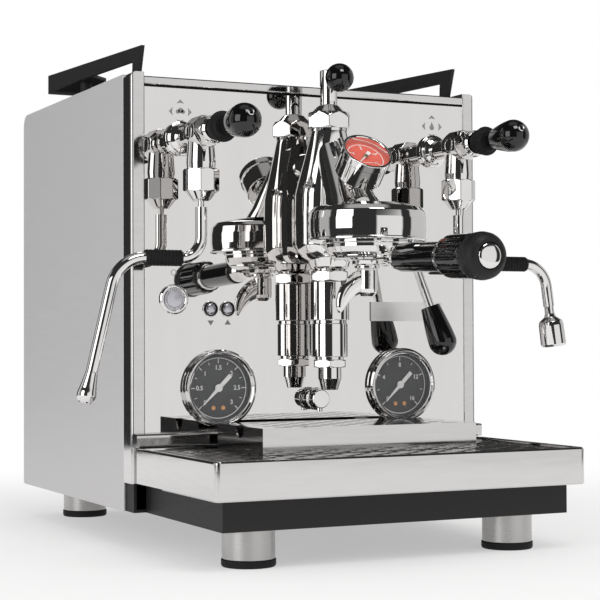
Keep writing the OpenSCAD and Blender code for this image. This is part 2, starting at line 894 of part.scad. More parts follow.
module water_pivot() {
    color("#bdbcba") pivot();
}

module water_knob() {
    color("#0e0e0f") knob();
}

module water_bellows() {
    color("#1d1d1e") bellows();
}

module water_wand() {
    color("#c9c8c7") wand(water_run, water_bend, water_turn, water_last);
}

module water_grip() {
    color("#1b1b1c") grip(water_run - 46, water_run + 0.5);
}

module water_nozzle() {
    tip = [[0, 0.1], [4.2, 0.1], [4.2, 7], [5.5, 10], [10.5, 14], [11.6, 17], [11.6, 36], [9.8, 37], [0, 37]];
    color("#c4c3c1") nozzle(water_run, water_bend, water_turn, water_last, tip);
}

// ---- inside ----

// horizontal boiler with flanged ends and stub axles on the uprights
module boiler(y, z, r, half_l) {
    rod_x(y, z, -half_l, half_l, r);
    for (sx = [-1, 1]) {
        rod_x(y, z, sx * half_l - 2.5, sx * half_l + 2.5, r + 2);
        rod_x(y, z, min(sx * half_l, sx * upright_x), max(sx * half_l, sx * upright_x), 6);
    }
}

module boilers() {
    color("#b8b2a6") {
        boiler(60, 290, 36, 60);
        boiler(152, 300, 46, 75);
    }
}

module pump_unit() {
    y = 110;
    z = 100;
    floor_z = pan_bottom + 2.5;
    color("#6f7377") {
        rod_x(y, z, -112, 0, 42);
        rod_x(y, z, -eps, 12, 20);
        rod_x(y, z, 12 - eps, 62, 27);
        for (x = [-95, -35]) block([x, y - 30, floor_z], [x + 20, y + 30, z - 25]);
    }
}

module pipework() {
    pipe_r = 3.5;
    color("#b87333") {
        translate([40, 110, 127.3]) cylinder(h = 133, r = pipe_r);
        translate([-30, 185, shelf_z + 3]) cylinder(h = 110, r = pipe_r);
        mirrored_pair() {
            translate([valve_x, 28, valve_z]) sphere(r = pipe_r);
            rod_y(valve_x, valve_z, 24.1, 28, pipe_r);
            translate([valve_x, 28, valve_z]) cylinder(h = 24, r = pipe_r);
        }
    }
}

module electrics() {
    color("#26282b") {
        block([60, 205, pan_bottom + 2.5], [132, 290, 132]);
        block([103, body_d - 19, 69], [131, body_d - 1, 91]);
    }
}

placed() chassis();
placed() side_panel_left();
placed() side_panel_right();
placed() front_frame();
placed() front_panel();
placed() rear_panel();
placed() top_tray();
placed() tank_lid();
placed() water_tank();
placed() cup_rails();
placed() drip_tray();
placed() drip_grille();
placed() cup_riser();
placed() foot_sleeves();
placed() foot_pads();
placed() badge_plate();
placed() gauge_cases();
placed() gauge_dials();
placed() group_gauge_dial();
placed() gauge_glasses();
placed() boiler_needle();
placed() pump_needle();
placed() group_needle();
placed() button_bezels();
placed() power_button();
placed() down_button();
placed() up_button();
placed() group_body();
placed() group_bell();
placed() group_gasket();
placed() shower_screen();
placed() mushroom_cap();
placed() flow_spindle();
placed() flow_knob();
placed() infusion_chamber();
placed() drain_spout();
placed() brew_lever();
placed() lever_handle();
placed() portafilter_body();
placed() filter_basket();
placed() portafilter_spout();
placed() portafilter_handle();
placed() steam_valve();
placed() steam_pivot();
placed() steam_knob();
placed() steam_bellows();
placed() steam_wand();
placed() steam_grip();
placed() steam_nozzle();
placed() water_valve();
placed() water_pivot();
placed() water_knob();
placed() water_bellows();
placed() water_wand();
placed() water_grip();
placed() water_nozzle();
placed() boilers();
placed() pump_unit();
placed() pipework();
placed() electrics();
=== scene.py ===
from math import atan2, copysign, cos, pi, radians, sin, sqrt, tan

import bmesh
import bpy
from mathutils import Matrix, Vector


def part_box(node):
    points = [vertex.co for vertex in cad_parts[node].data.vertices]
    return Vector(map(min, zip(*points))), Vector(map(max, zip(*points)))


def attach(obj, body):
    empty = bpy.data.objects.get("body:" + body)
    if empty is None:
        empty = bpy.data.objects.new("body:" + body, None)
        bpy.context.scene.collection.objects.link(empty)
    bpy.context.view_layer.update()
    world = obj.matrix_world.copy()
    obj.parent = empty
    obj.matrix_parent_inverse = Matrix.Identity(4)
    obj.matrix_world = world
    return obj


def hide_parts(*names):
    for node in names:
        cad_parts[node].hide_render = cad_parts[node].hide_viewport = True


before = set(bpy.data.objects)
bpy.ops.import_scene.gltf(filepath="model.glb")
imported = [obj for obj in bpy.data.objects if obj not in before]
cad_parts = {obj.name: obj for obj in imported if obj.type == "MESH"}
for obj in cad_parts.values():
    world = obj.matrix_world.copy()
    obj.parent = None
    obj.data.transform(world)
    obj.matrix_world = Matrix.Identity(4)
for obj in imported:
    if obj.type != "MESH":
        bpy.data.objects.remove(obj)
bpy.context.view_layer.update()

# Pieces are drawn in millimetres about the machine's datum: x = 0 at mid width, y = 0 at the front frame's
# face, z = 0 on the worktop. They are placed once into the row frame, in metres.
MM = 0.001
PANEL_FACE = 0.6                                        # front panel's face behind the datum
DATUM_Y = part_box("front_panel")[0].y / MM - PANEL_FACE  # the datum in the row frame
TO_ROW = Matrix.Scale(MM, 4) @ Matrix.Translation((0, DATUM_Y, 0))


def box_mm(node):
    """Lowest and highest corner of a CAD node, in millimetres about the datum."""
    low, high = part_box(node)
    datum = Vector((0, DATUM_Y, 0))
    return low / MM - datum, high / MM - datum


def middle(node):
    low, high = box_mm(node)
    return (low + high) / 2


# Places that several pieces share, in millimetres about the datum.
VALVE_X, VALVE_Z = 125.0, 350.0             # the valves' axes, square to the front panel
WAND_Y, WAND_Z = -46.0, 245.0               # the wands' level stretch
STICK_TIP_Y = -74.0                         # where the joysticks leave the valves
SHAFT_Y, SHAFT_Z = -34.0, 270.0             # the brew lever's shaft
HANDLE_Z = 243.0                            # the portafilter's handle, at the bell's axis
HANDLE_DROP = 2.0                           # degrees that the handle falls away
GAUGE_FACE = Vector((0, -107.7, 334.3))     # middle of the group gauge's face
GAUGE_TILT = 45.0                           # degrees that it is tilted back
ICON_Z = 373.5
SMALL_ICON_Z = 192.0
DRAIN_Z = 124.5
# Places an outline drawn in (y, z), raised along X.
UP_TO_X = Matrix(((0, 0, 1, 0), (1, 0, 0, 0), (0, 1, 0, 0), (0, 0, 0, 1)))


# ---- shapes


class Shape:
    """Points and faces, in millimetres, that can be moved and added up."""

    def __init__(self, points=(), faces=()):
        self.points = [Vector(p) for p in points]
        self.faces = [tuple(f) for f in faces]

    def __add__(self, other):
        n = len(self.points)
        return Shape(self.points + other.points, self.faces + [tuple(i
            + n for i in f) for f in other.faces])

    def moved(self, matrix):
        return Shape([matrix @ p for p in self.points], self.faces)

    def shifted(self, x=0.0, y=0.0, z=0.0):
        return self.moved(Matrix.Translation((x, y, z)))

    def turned(self, degrees, axis):
        return self.moved(Matrix.Rotation(radians(degrees), 4, axis))

    def mirrored(self):
        flipped = [tuple(reversed(f)) for f in self.faces]
        return Shape([Vector((-p.x, p.y, p.z)) for p in self.points], flipped)


def total(shapes):
    result = Shape()
    for s in shapes:
        result = result + s
    return result


def turn(degrees, axis):
    return Matrix.Rotation(radians(degrees), 4, axis)


def shift(*place):
    return Matrix.Translation(place)


def along(start, end):
    """Places a shape drawn along +Z at start, aimed at end."""
    start, end = Vector(start), Vector(end)
    return Matrix.Translation(start) @ (end - start).to_track_quat("Z", "Y").to_matrix().to_4x4()


def forwards(x, z, y=0.0):
    """Places a shape drawn along +Z so that it points at the person, along -Y."""
    return shift(x, y, z) @ turn(90, "X")


def loft(rings, caps=True, closed=False):
    """Skin over rings of points. A ring of one point is a pole."""
    points, starts, faces = [], [], []
    for ring in rings:
        starts.append(len(points))
        points += ring
    pairs = list(zip(range(len(rings)), range(1, len(rings))))
    if closed:
        pairs.append((len(rings) - 1, 0))
    for a, b in pairs:
        na, nb = len(rings[a]), len(rings[b])
        n = max(na, nb)
        for i in range(n):
            j = (i + 1) % n
            corners = [starts[a] + i % na, starts[a] + j % na, starts[b] + j % nb, starts[b] + i % nb]
            face = tuple(dict.fromkeys(corners))
            if len(face) > 2:
                faces.append(face)
    if caps and not closed:
        if len(rings[0]) > 2:
            faces.append(tuple(reversed(range(len(rings[0])))))
        if len(rings[-1]) > 2:
            faces.append(tuple(range(starts[-1], starts[-1] + len(rings[-1]))))
    return Shape(points, faces)


def circle(r, h, steps=72, wave=None):
    if r < 1e-6:
        return [(0.0, 0.0, h)]
    ring = []
    for i in range(steps):
        a = 2 * pi * i / steps
        reach = r * (wave(a) if wave else 1.0)
        ring.append((reach * cos(a), reach * sin(a), h))
    return ring


def fillets(corners, steps=5, closed=False):
    """Outline through corners (x, y) or (x, y, radius), the ones with a radius rounded."""
    outline = []
    last = len(corners) - 1
    for i, corner in enumerate(corners):
        here = Vector(corner[:2])
        r = corner[2] if len(corner) > 2 else 0.0
        if r <= 0 or (not closed and i in (0, last)):
            outline.append(tuple(here))
            continue
        before = Vector(corners[i - 1][:2]) - here
        after = Vector(corners[(i + 1) % len(corners)][:2]) - here
        half = before.angle(after) / 2
        cut = min(r / tan(half), before.length * 0.49, after.length * 0.49)
        r = cut * tan(half)
        start = here + before.normalized() * cut
        end = here + after.normalized() * cut
        centre = here + (before.normalized() + after.normalized()).normalized() * (r / sin(half))
        a0 = atan2(start.y - centre.y, start.x - centre.x)
        a1 = atan2(end.y - centre.y, end.x - centre.x)
        sweep = (a1 - a0 + pi) % (2 * pi) - pi
        for k in range(steps + 1):
            a = a0 + sweep * k / steps
            outline.append((centre.x + r * cos(a), centre.y + r * sin(a)))
    return outline


def curve(points, steps=8):
    """Smooth line through points (Catmull-Rom)."""
    pts = [Vector(p) for p in points]
    pts = [2 * pts[0] - pts[1]] + pts + [2 * pts[-1] - pts[-2]]
    line = []
    for a, b, c, d in zip(pts, pts[1:], pts[2:], pts[3:]):
        for k in range(steps):
            t = k / steps
            line.append(0.5 * (2 * b + (c - a) * t + (2 * a - 5 * b + 4 * c - d) * t * t
                + (3 * b - a - 3 * c + d) * t ** 3))
    line.append(pts[-2])
    return line


def lathe(outline, steps=72, closed=False):
    """Solid of revolution about Z, its outline in (radius, height)."""
    return loft([circle(r, h, steps) for r, h in outline], caps=not closed, closed=closed)


def spun(corners, steps=72, soft=5, closed=False):
    """Solid of revolution whose corners (radius, height, rounding) are rounded."""
    outline = fillets(corners, soft)
    return lathe(outline, steps, closed)


def polygon_reach(corner_r, sides, angle, start):
    """Distance to a regular polygon's side in a direction."""
    sector = 2 * pi / sides
    a = (angle - start + sector / 2) % sector - sector / 2
    return corner_r * cos(sector / 2) / cos(sector / 2 - abs(a))


def nut(corner_r, sides, z0, z1, chamfer0=1.2, chamfer1=1.2, start=0.0, steps=144):
    """Polygonal nut about Z with conical chamfers at its ends."""
    flat_r = corner_r * cos(pi / sides)
    levels = [(z0, flat_r - 0.2)]
    for k in range(1, 5):
        levels.append((z0 + chamfer0 * k / 4, flat_r - 0.2 + (corner_r - flat_r + 0.3) * k / 4))
    for k in range(4, -1, -1):
        levels.append((z1 - chamfer1 * k / 4, flat_r - 0.2 + (corner_r - flat_r + 0.3) * k / 4))
    rings = []
    for z, limit in levels:
        ring = []
        for i in range(steps):
            a = 2 * pi * i / steps
            reach = min(polygon_reach(corner_r, sides, a, radians(start)), limit)
            ring.append((reach * cos(a), reach * sin(a), z))
        rings.append(ring)
    return loft(rings)


def prism(outline, z0, z1):
    return loft([[(x, y, z0) for x, y in outline], [(x, y, z1) for x, y in outline]])


def cuboid(low, high):
    x0, y0, z0 = low
    x1, y1, z1 = high
    return prism([(x0, y0), (x1, y0), (x1, y1), (x0, y1)], z0, z1)


def rounded_rectangle(x0, x1, y0, y1, r, steps=5):
    return fillets([(x0, y0, r), (x1, y0, r), (x1, y1, r), (x0, y1, r)], steps, closed=True)


def tube(path, radius, steps=32, section=None):
    """Tube along a path of points. radius is a number or a function of the share of the path."""
    pts = [Vector(p) for p in path]
    rings = []
    up = Vector((0, 1, 0))
    for i, p in enumerate(pts):
        ahead = pts[min(i + 1, len(pts) - 1)] - pts[max(i - 1, 0)]
        ahead.normalize()
        side = up.cross(ahead).normalized()
        across = ahead.cross(side)
        r = radius(i / (len(pts) - 1)) if callable(radius) else radius
        ring = []
        for k in range(steps):
            a = 2 * pi * k / steps
            u, v = (cos(a) * r, sin(a) * r) if section is None else section(a, r)
            ring.append(p + side * u + across * v)
        rings.append(ring)
    return loft(rings)


# ---- materials

finishes = {}
NOISE_LOW, NOISE_HIGH = 0.3, 0.7            # the range that the noise mostly keeps to


def node_material(name):
    """A material whose tree holds a Principled shader wired to its output."""
    material = bpy.data.materials.new(name)
    material.use_nodes = True
    tree = material.node_tree
    tree.nodes.clear()
    output = add_node(tree, "OutputMaterial")
    shader = add_node(tree, "BsdfPrincipled")
    tree.links.new(shader.outputs["BSDF"], output.inputs["Surface"])
    finishes[name] = material
    return material, tree, shader


def add_node(tree, kind, **values):
    """A shader node with some inputs set. Their names are written with _ for a space."""
    node = tree.nodes.new("ShaderNode" + kind)
    for name, value in values.items():
        node.inputs[name.replace("_", " ")].default_value = value
    return node


def noise(tree, scale, stretch=(1, 1, 1)):
    """Noise in the piece's own space, streaked where stretch differs between axes."""
    place = add_node(tree, "TexCoord")
    mapping = add_node(tree, "Mapping", Scale=stretch)
    texture = add_node(tree, "TexNoise", Scale=scale, Detail=3.0)
    tree.links.new(place.outputs["Object"], mapping.inputs["Vector"])
    tree.links.new(mapping.outputs["Vector"], texture.inputs["Vector"])
    return texture.outputs["Fac"]


def ranged(tree, value, low, high):
    node = add_node(tree, "MapRange", From_Min=NOISE_LOW, From_Max=NOISE_HIGH, To_Min=low, To_Max=high)
    tree.links.new(value, node.inputs["Value"])
    return node.outputs["Result"]


def tinted(tree, value, dark, light):
    node = add_node(tree, "ValToRGB")
    for stop, place, colour in zip(node.color_ramp.elements, (NOISE_LOW, NOISE_HIGH), (dark, light)):
        stop.position = place
        stop.color = (*colour, 1)
    tree.links.new(value, node.inputs["Fac"])
    return node.outputs["Color"]


def bump(tree, value, shader, strength, depth):
    node = add_node(tree, "Bump", Strength=strength, Distance=depth)
    tree.links.new(value, node.inputs["Height"])
    tree.links.new(node.outputs["Normal"], shader.inputs["Normal"])


def finish(name, colour, rough, metal=0.0, vary=0.08, scale=60.0, stretch=(1, 1, 1), relief=(0.0, 0.0),
    grain=None, coat=0.0, specular=0.5):
    """Finish with its colour and roughness varied by streaked noise, and optionally a fine relief."""
    material, tree, shader = node_material(name)
    shader.inputs["Metallic"].default_value = metal
    shader.inputs["Specular IOR Level"].default_value = specular
    shader.inputs["Coat Weight"].default_value = coat
    shader.inputs["Coat Roughness"].default_value = 0.03
    pattern = noise(tree, scale, stretch)
    dark = tuple(c * (1 - vary) for c in colour)
    tree.links.new(tinted(tree, pattern, dark, colour), shader.inputs["Base Color"])
    tree.links.new(ranged(tree, pattern, *rough), shader.inputs["Roughness"])
    if relief[0]:
        bump(tree, noise(tree, *(grain or (scale, stretch))), shader, *relief)
    return material


def make_finishes():
    finish("chrome", (0.80, 0.79, 0.78), (0.02, 0.05), 1.0, 0.05, 45)
    finish("polished_steel", (0.66, 0.65, 0.645), (0.05, 0.10), 1.0, 0.05, 30, (1, 1, 8))
    finish("mirror_steel", (0.76, 0.745, 0.735), (0.008, 0.022), 1.0, 0.03, 9, (6, 6, 1))
    finish("satin_panel", (0.62, 0.61, 0.615), (0.45, 0.52), 0.3, 0.04, 900, (1, 0.012, 1),
        (0.04, 0.00005))
    finish("brushed_steel", (0.60, 0.59, 0.58), (0.22, 0.38), 1.0, 0.2, 1100, (0.02, 0.6, 0.6),
        (0.08, 0.00005))
    finish("turned_steel", (0.52, 0.51, 0.50), (0.25, 0.38), 1.0, 0.10, 1200, (0.01, 0.01, 1),
        (0.05, 0.00005))
    finish("grille_steel", (0.66, 0.65, 0.64), (0.16, 0.28), 1.0, 0.12, 400, (0.05, 1, 1))
    finish("satin_plate", (0.80, 0.79, 0.78), (0.30, 0.40), 0.6, 0.05, 1600, (0.02, 1, 1), (0.05, 0.00003))
    finish("button_steel", (0.60, 0.59, 0.63), (0.20, 0.34), 1.0, 0.12, 900, (1, 0.1, 0.15),
        (0.05, 0.00003))
    finish("boiler_steel", (0.52, 0.49, 0.44), (0.30, 0.50), 1.0, 0.2, 40, (1, 6, 6))
    finish("copper", (0.66, 0.34, 0.19), (0.22, 0.40), 1.0, 0.25, 50)
    finish("black_coating", (0.014, 0.0135, 0.014), (0.42, 0.60), 0.0, 0.3, 700, (1, 1, 1), (0.2, 0.0001),
        specular=0.35)
    finish("gloss_black", (0.004, 0.0038, 0.004), (0.04, 0.08), 0.0, 0.3, 40, coat=0.25)
    # Black rubber; also given to the dark strip and discs that stand in for shade in gaps and holes:
    # painted shade.
    finish("rubber", (0.008, 0.0078, 0.008), (0.55, 0.75), 0.0, 0.3, 900, (1, 1, 1), (0.2, 0.0001),
        specular=0.3)
    finish("grey_paint", (0.16, 0.17, 0.18), (0.40, 0.55), 0.0, 0.15, 120)
    finish("black_plastic", (0.012, 0.012, 0.013), (0.40, 0.60), 0.0, 0.2, 300, (1, 1, 1), (0.15, 0.0001),
        specular=0.3)
    finish("black_dial", (0.028, 0.028, 0.031), (0.40, 0.55), 0.0, 0.10, 90)
    finish("orange_dial", (0.80, 0.075, 0.025), (0.40, 0.55), 0.0, 0.06, 90, (1, 1, 1), (0.1, 0.00003),
        (2500, (1, 1, 1)))
    finish("white_paint", (0.85, 0.85, 0.83), (0.30, 0.45), 0.0, 0.05, 400)
    finish("scale_white", (0.80, 0.80, 0.80), (0.40, 0.55), 0.0, 0.06, 600)
    finish("amber_print", (0.80, 0.36, 0.10), (0.35, 0.50), 0.0, 0.15, 500)
    finish("brass", (0.72, 0.50, 0.22), (0.15, 0.28), 1.0, 0.15, 300)
    finish("etched", (0.36, 0.355, 0.35), (0.35, 0.48), 0.8, 0.08, 900)
    finish("printed_grey", (0.20, 0.20, 0.20), (0.45, 0.60), 0.0, 0.1, 900)
    _, tree, shader = node_material("gauge_glass")
    shader.inputs["Alpha"].default_value = 0.04
    shader.inputs["IOR"].default_value = 1.5
    tree.links.new(tinted(tree, noise(tree, 60), (0.93, 0.95, 0.96), (0.97, 0.98, 0.99)),
        shader.inputs["Base Color"])
    tree.links.new(ranged(tree, noise(tree, 60), 0.005, 0.02), shader.inputs["Roughness"])
    _, tree, shader = node_material("tank_plastic")
    shader.inputs["Alpha"].default_value = 0.45
    tree.links.new(tinted(tree, noise(tree, 25), (0.50, 0.57, 0.62), (0.58, 0.65, 0.70)),
        shader.inputs["Base Color"])
    tree.links.new(ranged(tree, noise(tree, 80), 0.08, 0.2), shader.inputs["Roughness"])


def round_edges(obj, width, segments):
    rounding = obj.modifiers.new("edge", "BEVEL")
    rounding.width = width * MM
    rounding.segments = segments
    rounding.limit_method = "ANGLE"
    rounding.angle_limit = radians(40)
    rounding.harden_normals = True


def paint_node(node, name, edge=0.0):
    """Gives a CAD node its finish, and rounds its edges where edge is given, in millimetres."""
    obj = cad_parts[node]
    obj.data.materials.clear()
    obj.data.materials.append(finishes[name])
    if edge:
        round_edges(obj, edge, 2)


def piece(name, shape, finish_name, body="root", nodes=(), bevel=0.0, crease=35):
    """A new piece in the row frame: its mesh, finish, body, and the CAD nodes it stands for.
    Its slot has the finish's name.
    """
    mesh = bpy.data.meshes.new(name)
    mesh.from_pydata([TO_ROW @ p for p in shape.points], [], shape.faces)
    work = bmesh.new()
    work.from_mesh(mesh)
    bmesh.ops.remove_doubles(work, verts=work.verts, dist=0.004 * MM)
    bmesh.ops.dissolve_degenerate(work, edges=work.edges, dist=0.002 * MM)
    bmesh.ops.recalc_face_normals(work, faces=work.faces)
    work.to_mesh(mesh)
    work.free()
    mesh.shade_smooth()
    mesh.set_sharp_from_angle(angle=radians(crease))
    mesh.materials.append(finishes[finish_name])
    obj = bpy.data.objects.new(name, mesh)
    bpy.context.scene.collection.objects.link(obj)
    if bevel:
        round_edges(obj, bevel, 3)
    even = obj.modifiers.new("even", "WEIGHTED_NORMAL")
    even.keep_sharp = True
    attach(obj, body)
    if nodes:
        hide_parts(*nodes)


# ---- casing


def build_casing():
    half_w = box_mm("side_panel_right")[1].x
    frame_low, frame_high = box_mm("front_frame")
    panel_low, panel_high = box_mm("front_panel")
    inner = panel_high.x + 0.2
    post_d = frame_high.y
    top = frame_high.z
    bottom = panel_low.z - 0.5
    edge_r = 5.0
    front_r = 2.5
    outline = fillets([(inner, 0, 0.8), (half_w, 0, front_r), (half_w, post_d, 0.5), (inner, post_d, 0.5)],
        8, True)
    levels = [bottom, top - edge_r] + [top - edge_r + edge_r * sin(radians(a)) for a in range(10, 91, 10)]
    rings = []
    for z in levels:
        over = max(0.0, z - (top - edge_r))
        reach = half_w - edge_r + sqrt(max(0.0, edge_r ** 2 - over ** 2))
        rings.append([(min(x, reach), y, z) for x, y in outline])
    post = loft(rings)
    bar_low, bar_high = 395.4, 402.5
    bar = prism(rounded_rectangle(0, post_d, bar_low, bar_high, 1.2), -inner, inner)
    bar = bar.moved(UP_TO_X)
    lip = prism(rounded_rectangle(frame_low.y, 0, 86.8, 98, 1.8), -half_w + 0.4, half_w - 0.4)
    lip = lip.moved(UP_TO_X)
    piece("front_posts", post + post.mirrored(), "polished_steel", nodes=["front_frame"])
    piece("front_top_bar", bar, "polished_steel")
    # A dark strip behind the gap under the top bar stands in for the shadow in that gap: painted shade.
    painted_shade_strip = cuboid((-inner + 0.5, 4, 391.5), (inner - 0.5, 6, 397))
    piece("top_bar_painted_shade", painted_shade_strip, "rubber")
    piece("front_lower_lip", lip, "polished_steel")

    side_low, side_high = box_mm("side_panel_right")
    sheet = 2.0
    corner = 12.0
    outline = fillets([(side_low.y, side_low.z, 0.8), (side_high.y, side_low.z, 3),
        (side_high.y, side_high.z, corner), (side_low.y, side_high.z, 0.8)], 8, True)
    wall = prism(outline, half_w - sheet, half_w).moved(UP_TO_X)
    flange = cuboid((half_w - 9, side_low.y + 1, side_high.z - sheet),
        (half_w - 1, side_high.y - corner, side_high.z - 0.3))
    piece("side_cover_left", (wall + flange).mirrored(), "satin_panel", nodes=["side_panel_left"],
        bevel=0.6)
    piece("side_cover_right", wall + flange, "satin_panel", nodes=["side_panel_right"], bevel=0.6)

    looks = [
        ("front_panel", "mirror_steel", 0), ("rear_panel", "brushed_steel", 0),
        ("top_tray", "brushed_steel", 0), ("tank_lid", "brushed_steel", 0.6),
        ("water_tank", "tank_plastic", 0.8), ("chassis", "black_coating", 0.8),
        ("cup_rails", "black_coating", 0.5), ("badge_plate", "satin_plate", 0.5),
        ("boilers", "boiler_steel", 0), ("pump_unit", "grey_paint", 0),
        ("pipework", "copper", 0), ("electrics", "black_plastic", 1.0),
    ]
    for node, name, edge in looks:
        paint_node(node, name, edge)


def build_feet():
    pad_low, pad_high = box_mm("foot_pads")
    pad_r = 21.75
    pad_h = pad_high.z
    sleeve_r = pad_r - 0.75
    sleeve_top = box_mm("foot_sleeves")[1].z
    centres = [(sx * (pad_high.x - pad_r), y) for sx in (-1, 1) for y in (pad_low.y + pad_r,
        pad_high.y - pad_r)]
    sleeve = spun([(0, pad_h), (sleeve_r, pad_h, 0.6), (sleeve_r, sleeve_top), (0, sleeve_top)], 96)
    pad = spun([(0, 0), (pad_r - 0.8, 0, 0.5), (pad_r, 1.5, 0.8), (pad_r, pad_h, 0.7), (0, pad_h)], 96)
    piece("foot_sleeve_set", total(sleeve.shifted(x, y) for x, y in centres), "turned_steel",
        nodes=["foot_sleeves"])
    piece("foot_pad_set", total(pad.shifted(x, y) for x, y in centres), "rubber", nodes=["foot_pads"])


# ---- drip tray


def build_tray():
    low, high = box_mm("drip_tray")
    grille_low, grille_high = box_mm("drip_grille")
    r = 5.0
    rim = 2.6
    ledge_z = grille_low.z - 0.3
    floor_z = low.z + 2.5
    levels = [(1.0, low.z), (0.0, low.z + 1.0), (0.0, high.z - 2.2), (0.3, high.z - 1.0),
        (1.0, high.z - 0.25), (1.8, high.z), (rim + 0.6, high.z - 0.2), (rim + 1.2, high.z - 1.2),
        (rim + 1.2, ledge_z), (11.0, ledge_z), (12.5, ledge_z - 2.0), (13.5, floor_z)]
    rings = []
    for inset, z in levels:
        outline = rounded_rectangle(low.x + inset, high.x - inset, low.y + inset, high.y - inset,
            max(1.0, r - inset))
        rings.append([(x, y, z) for x, y in outline])
    piece("tray_shell", loft(rings), "polished_steel", "tray", ["drip_tray"])

    pitch_x, pitch_y = 26.0, 11.0
    rows = 12
    slot_half, slot_r = 7.0, 2.1
    wave = 1.3
    segments = 10
    top, under = grille_high.z, grille_low.z
    rows_y0 = grille_low.y + 18 - pitch_y / 2

    def slot_ring(z):
        """Outline of a wavy slot, starting at its right end's middle."""
        ring = []
        for side in (1, -1):
            for k in range(segments + 1):
                t = side * (1 - 2 * k / segments)
                x = t * slot_half
                swell = sqrt(max(0.0, 1 - abs(t) ** 6))
                ring.append((x + copysign(slot_r, t) * (1 - swell), wave * sin(pi * t)
                    + side * slot_r * (0.25 + 0.75 * swell), z))
        return ring

    def cell_ring(z):
        ring = []
        for side in (1, -1):
            for k in range(segments + 1):
                ring.append((side * (1 - 2 * k / segments) * pitch_x / 2, side * pitch_y / 2, z))
        return ring

    def held(p):
        return Vector((max(grille_low.x, min(grille_high.x, p.x)), p.y, p.z))

    low_top = top - 0.6
    cell = loft([cell_ring(under), cell_ring(low_top), slot_ring(top), slot_ring(under)], caps=False,
        closed=True)
    plate = Shape()
    for row in range(rows):
        y = rows_y0 + (row + 0.5) * pitch_y
        lead = 0.25 + 0.5 * (row % 2)
        for i in range(-6, 6):
            moved = cell.shifted((i + lead) * pitch_x, y)
            plate = plate + Shape([held(p) for p in moved.points], moved.faces)
        x0, x1 = (5 + lead + 0.5) * pitch_x, grille_high.x
        if x1 - x0 > 0.5:
            plate = plate + cuboid((x0, y - pitch_y / 2, under), (x1, y + pitch_y / 2, top))
        x0, x1 = grille_low.x, (-6 + lead - 0.5) * pitch_x
        if x1 - x0 > 0.5:
            plate = plate + cuboid((x0, y - pitch_y / 2, under), (x1, y + pitch_y / 2, top))
    plate = plate + cuboid((grille_low.x, grille_low.y, under), (grille_high.x, rows_y0, top))
    plate = plate + cuboid((grille_low.x, rows_y0 + rows * pitch_y, under),
        (grille_high.x, grille_high.y, top))
    piece("grille_plate", plate, "grille_steel", "grille", ["drip_grille"], crease=25)
    paint_node("cup_riser", "polished_steel", 0.4)


# ---- gauges

DIAL_START, DIAL_SWEEP = 225.0, 270.0       # degrees from 3 o'clock, and clockwise from there


def strip(a, b, width, z0, z1):
    """Flat bar between two points of a dial."""
    a, b = Vector(a), Vector(b)
    side = (b - a).normalized().orthogonal() * width / 2
    return prism([tuple(a + side), tuple(a - side), tuple(b - side), tuple(b + side)], z0, z1)


def number(text, x, y, size, z):
    """A generic scale number, as flat geometry."""
    data = bpy.data.curves.new("number", "FONT")
    data.body = text
    data.size = size
    data.align_x, data.align_y = "CENTER", "CENTER"
    data.offset = 0.10
    obj = bpy.data.objects.new("number", data)
    bpy.context.scene.collection.objects.link(obj)
    bpy.context.view_layer.update()
    mesh = bpy.data.meshes.new_from_object(obj)
    shape = Shape([(v.co.x + x, v.co.y + y, z) for v in mesh.vertices],
        [tuple(p.vertices) for p in mesh.polygons])
    bpy.data.objects.remove(obj)
    bpy.data.curves.remove(data)
    bpy.data.meshes.remove(mesh)
    return shape


def on_dial(r, share):
    a = radians(DIAL_START - DIAL_SWEEP * share)
    return r * cos(a), r * sin(a)


def dial_marks(ring_r, majors, minors, labels, text_r, text_size, z):
    """Scale ring, long and short ticks and numbers of a dial facing +Z."""
    shape = lathe([(ring_r - 0.35, z), (ring_r + 0.35, z), (ring_r + 0.35, z + 0.1),
        (ring_r - 0.35, z + 0.1)], 96, True)
    for i in range(majors + 1):
        share = i / majors
        shape = shape + strip(on_dial(ring_r, share), on_dial(ring_r - 4.2, share), 0.8, z, z + 0.1)
    for i in range(minors):
        share = (i + 0.5) / minors
        shape = shape + strip(on_dial(ring_r - 2.2, share), on_dial(ring_r - 4.6, share), 0.55, z, z + 0.1)
    for i, label in enumerate(labels):
        x, y = on_dial(text_r, i / (len(labels) - 1))
        shape = shape + number(label, x, y, text_size, z + 0.08)
    return shape


def pointer(length, tail, z):
    """Needle lying on a dial that faces +Z, aimed at the scale's start."""
    blade = prism([(-tail, 1.9), (-tail, -1.9), (0, -1.7), (length, -0.3), (length, 0.3), (0, 1.7)], z,
        z + 0.45)
    hub = spun([(0, z - 0.3), (3.4, z - 0.3), (3.4, z + 0.7, 0.4), (2.1, z + 0.85, 0.3), (2.0, z + 0.6),
        (1.1, z + 0.6), (1.0, z + 0.9, 0.2), (0, z + 0.95)], 48)
    return blade.turned(DIAL_START, "Z") + hub


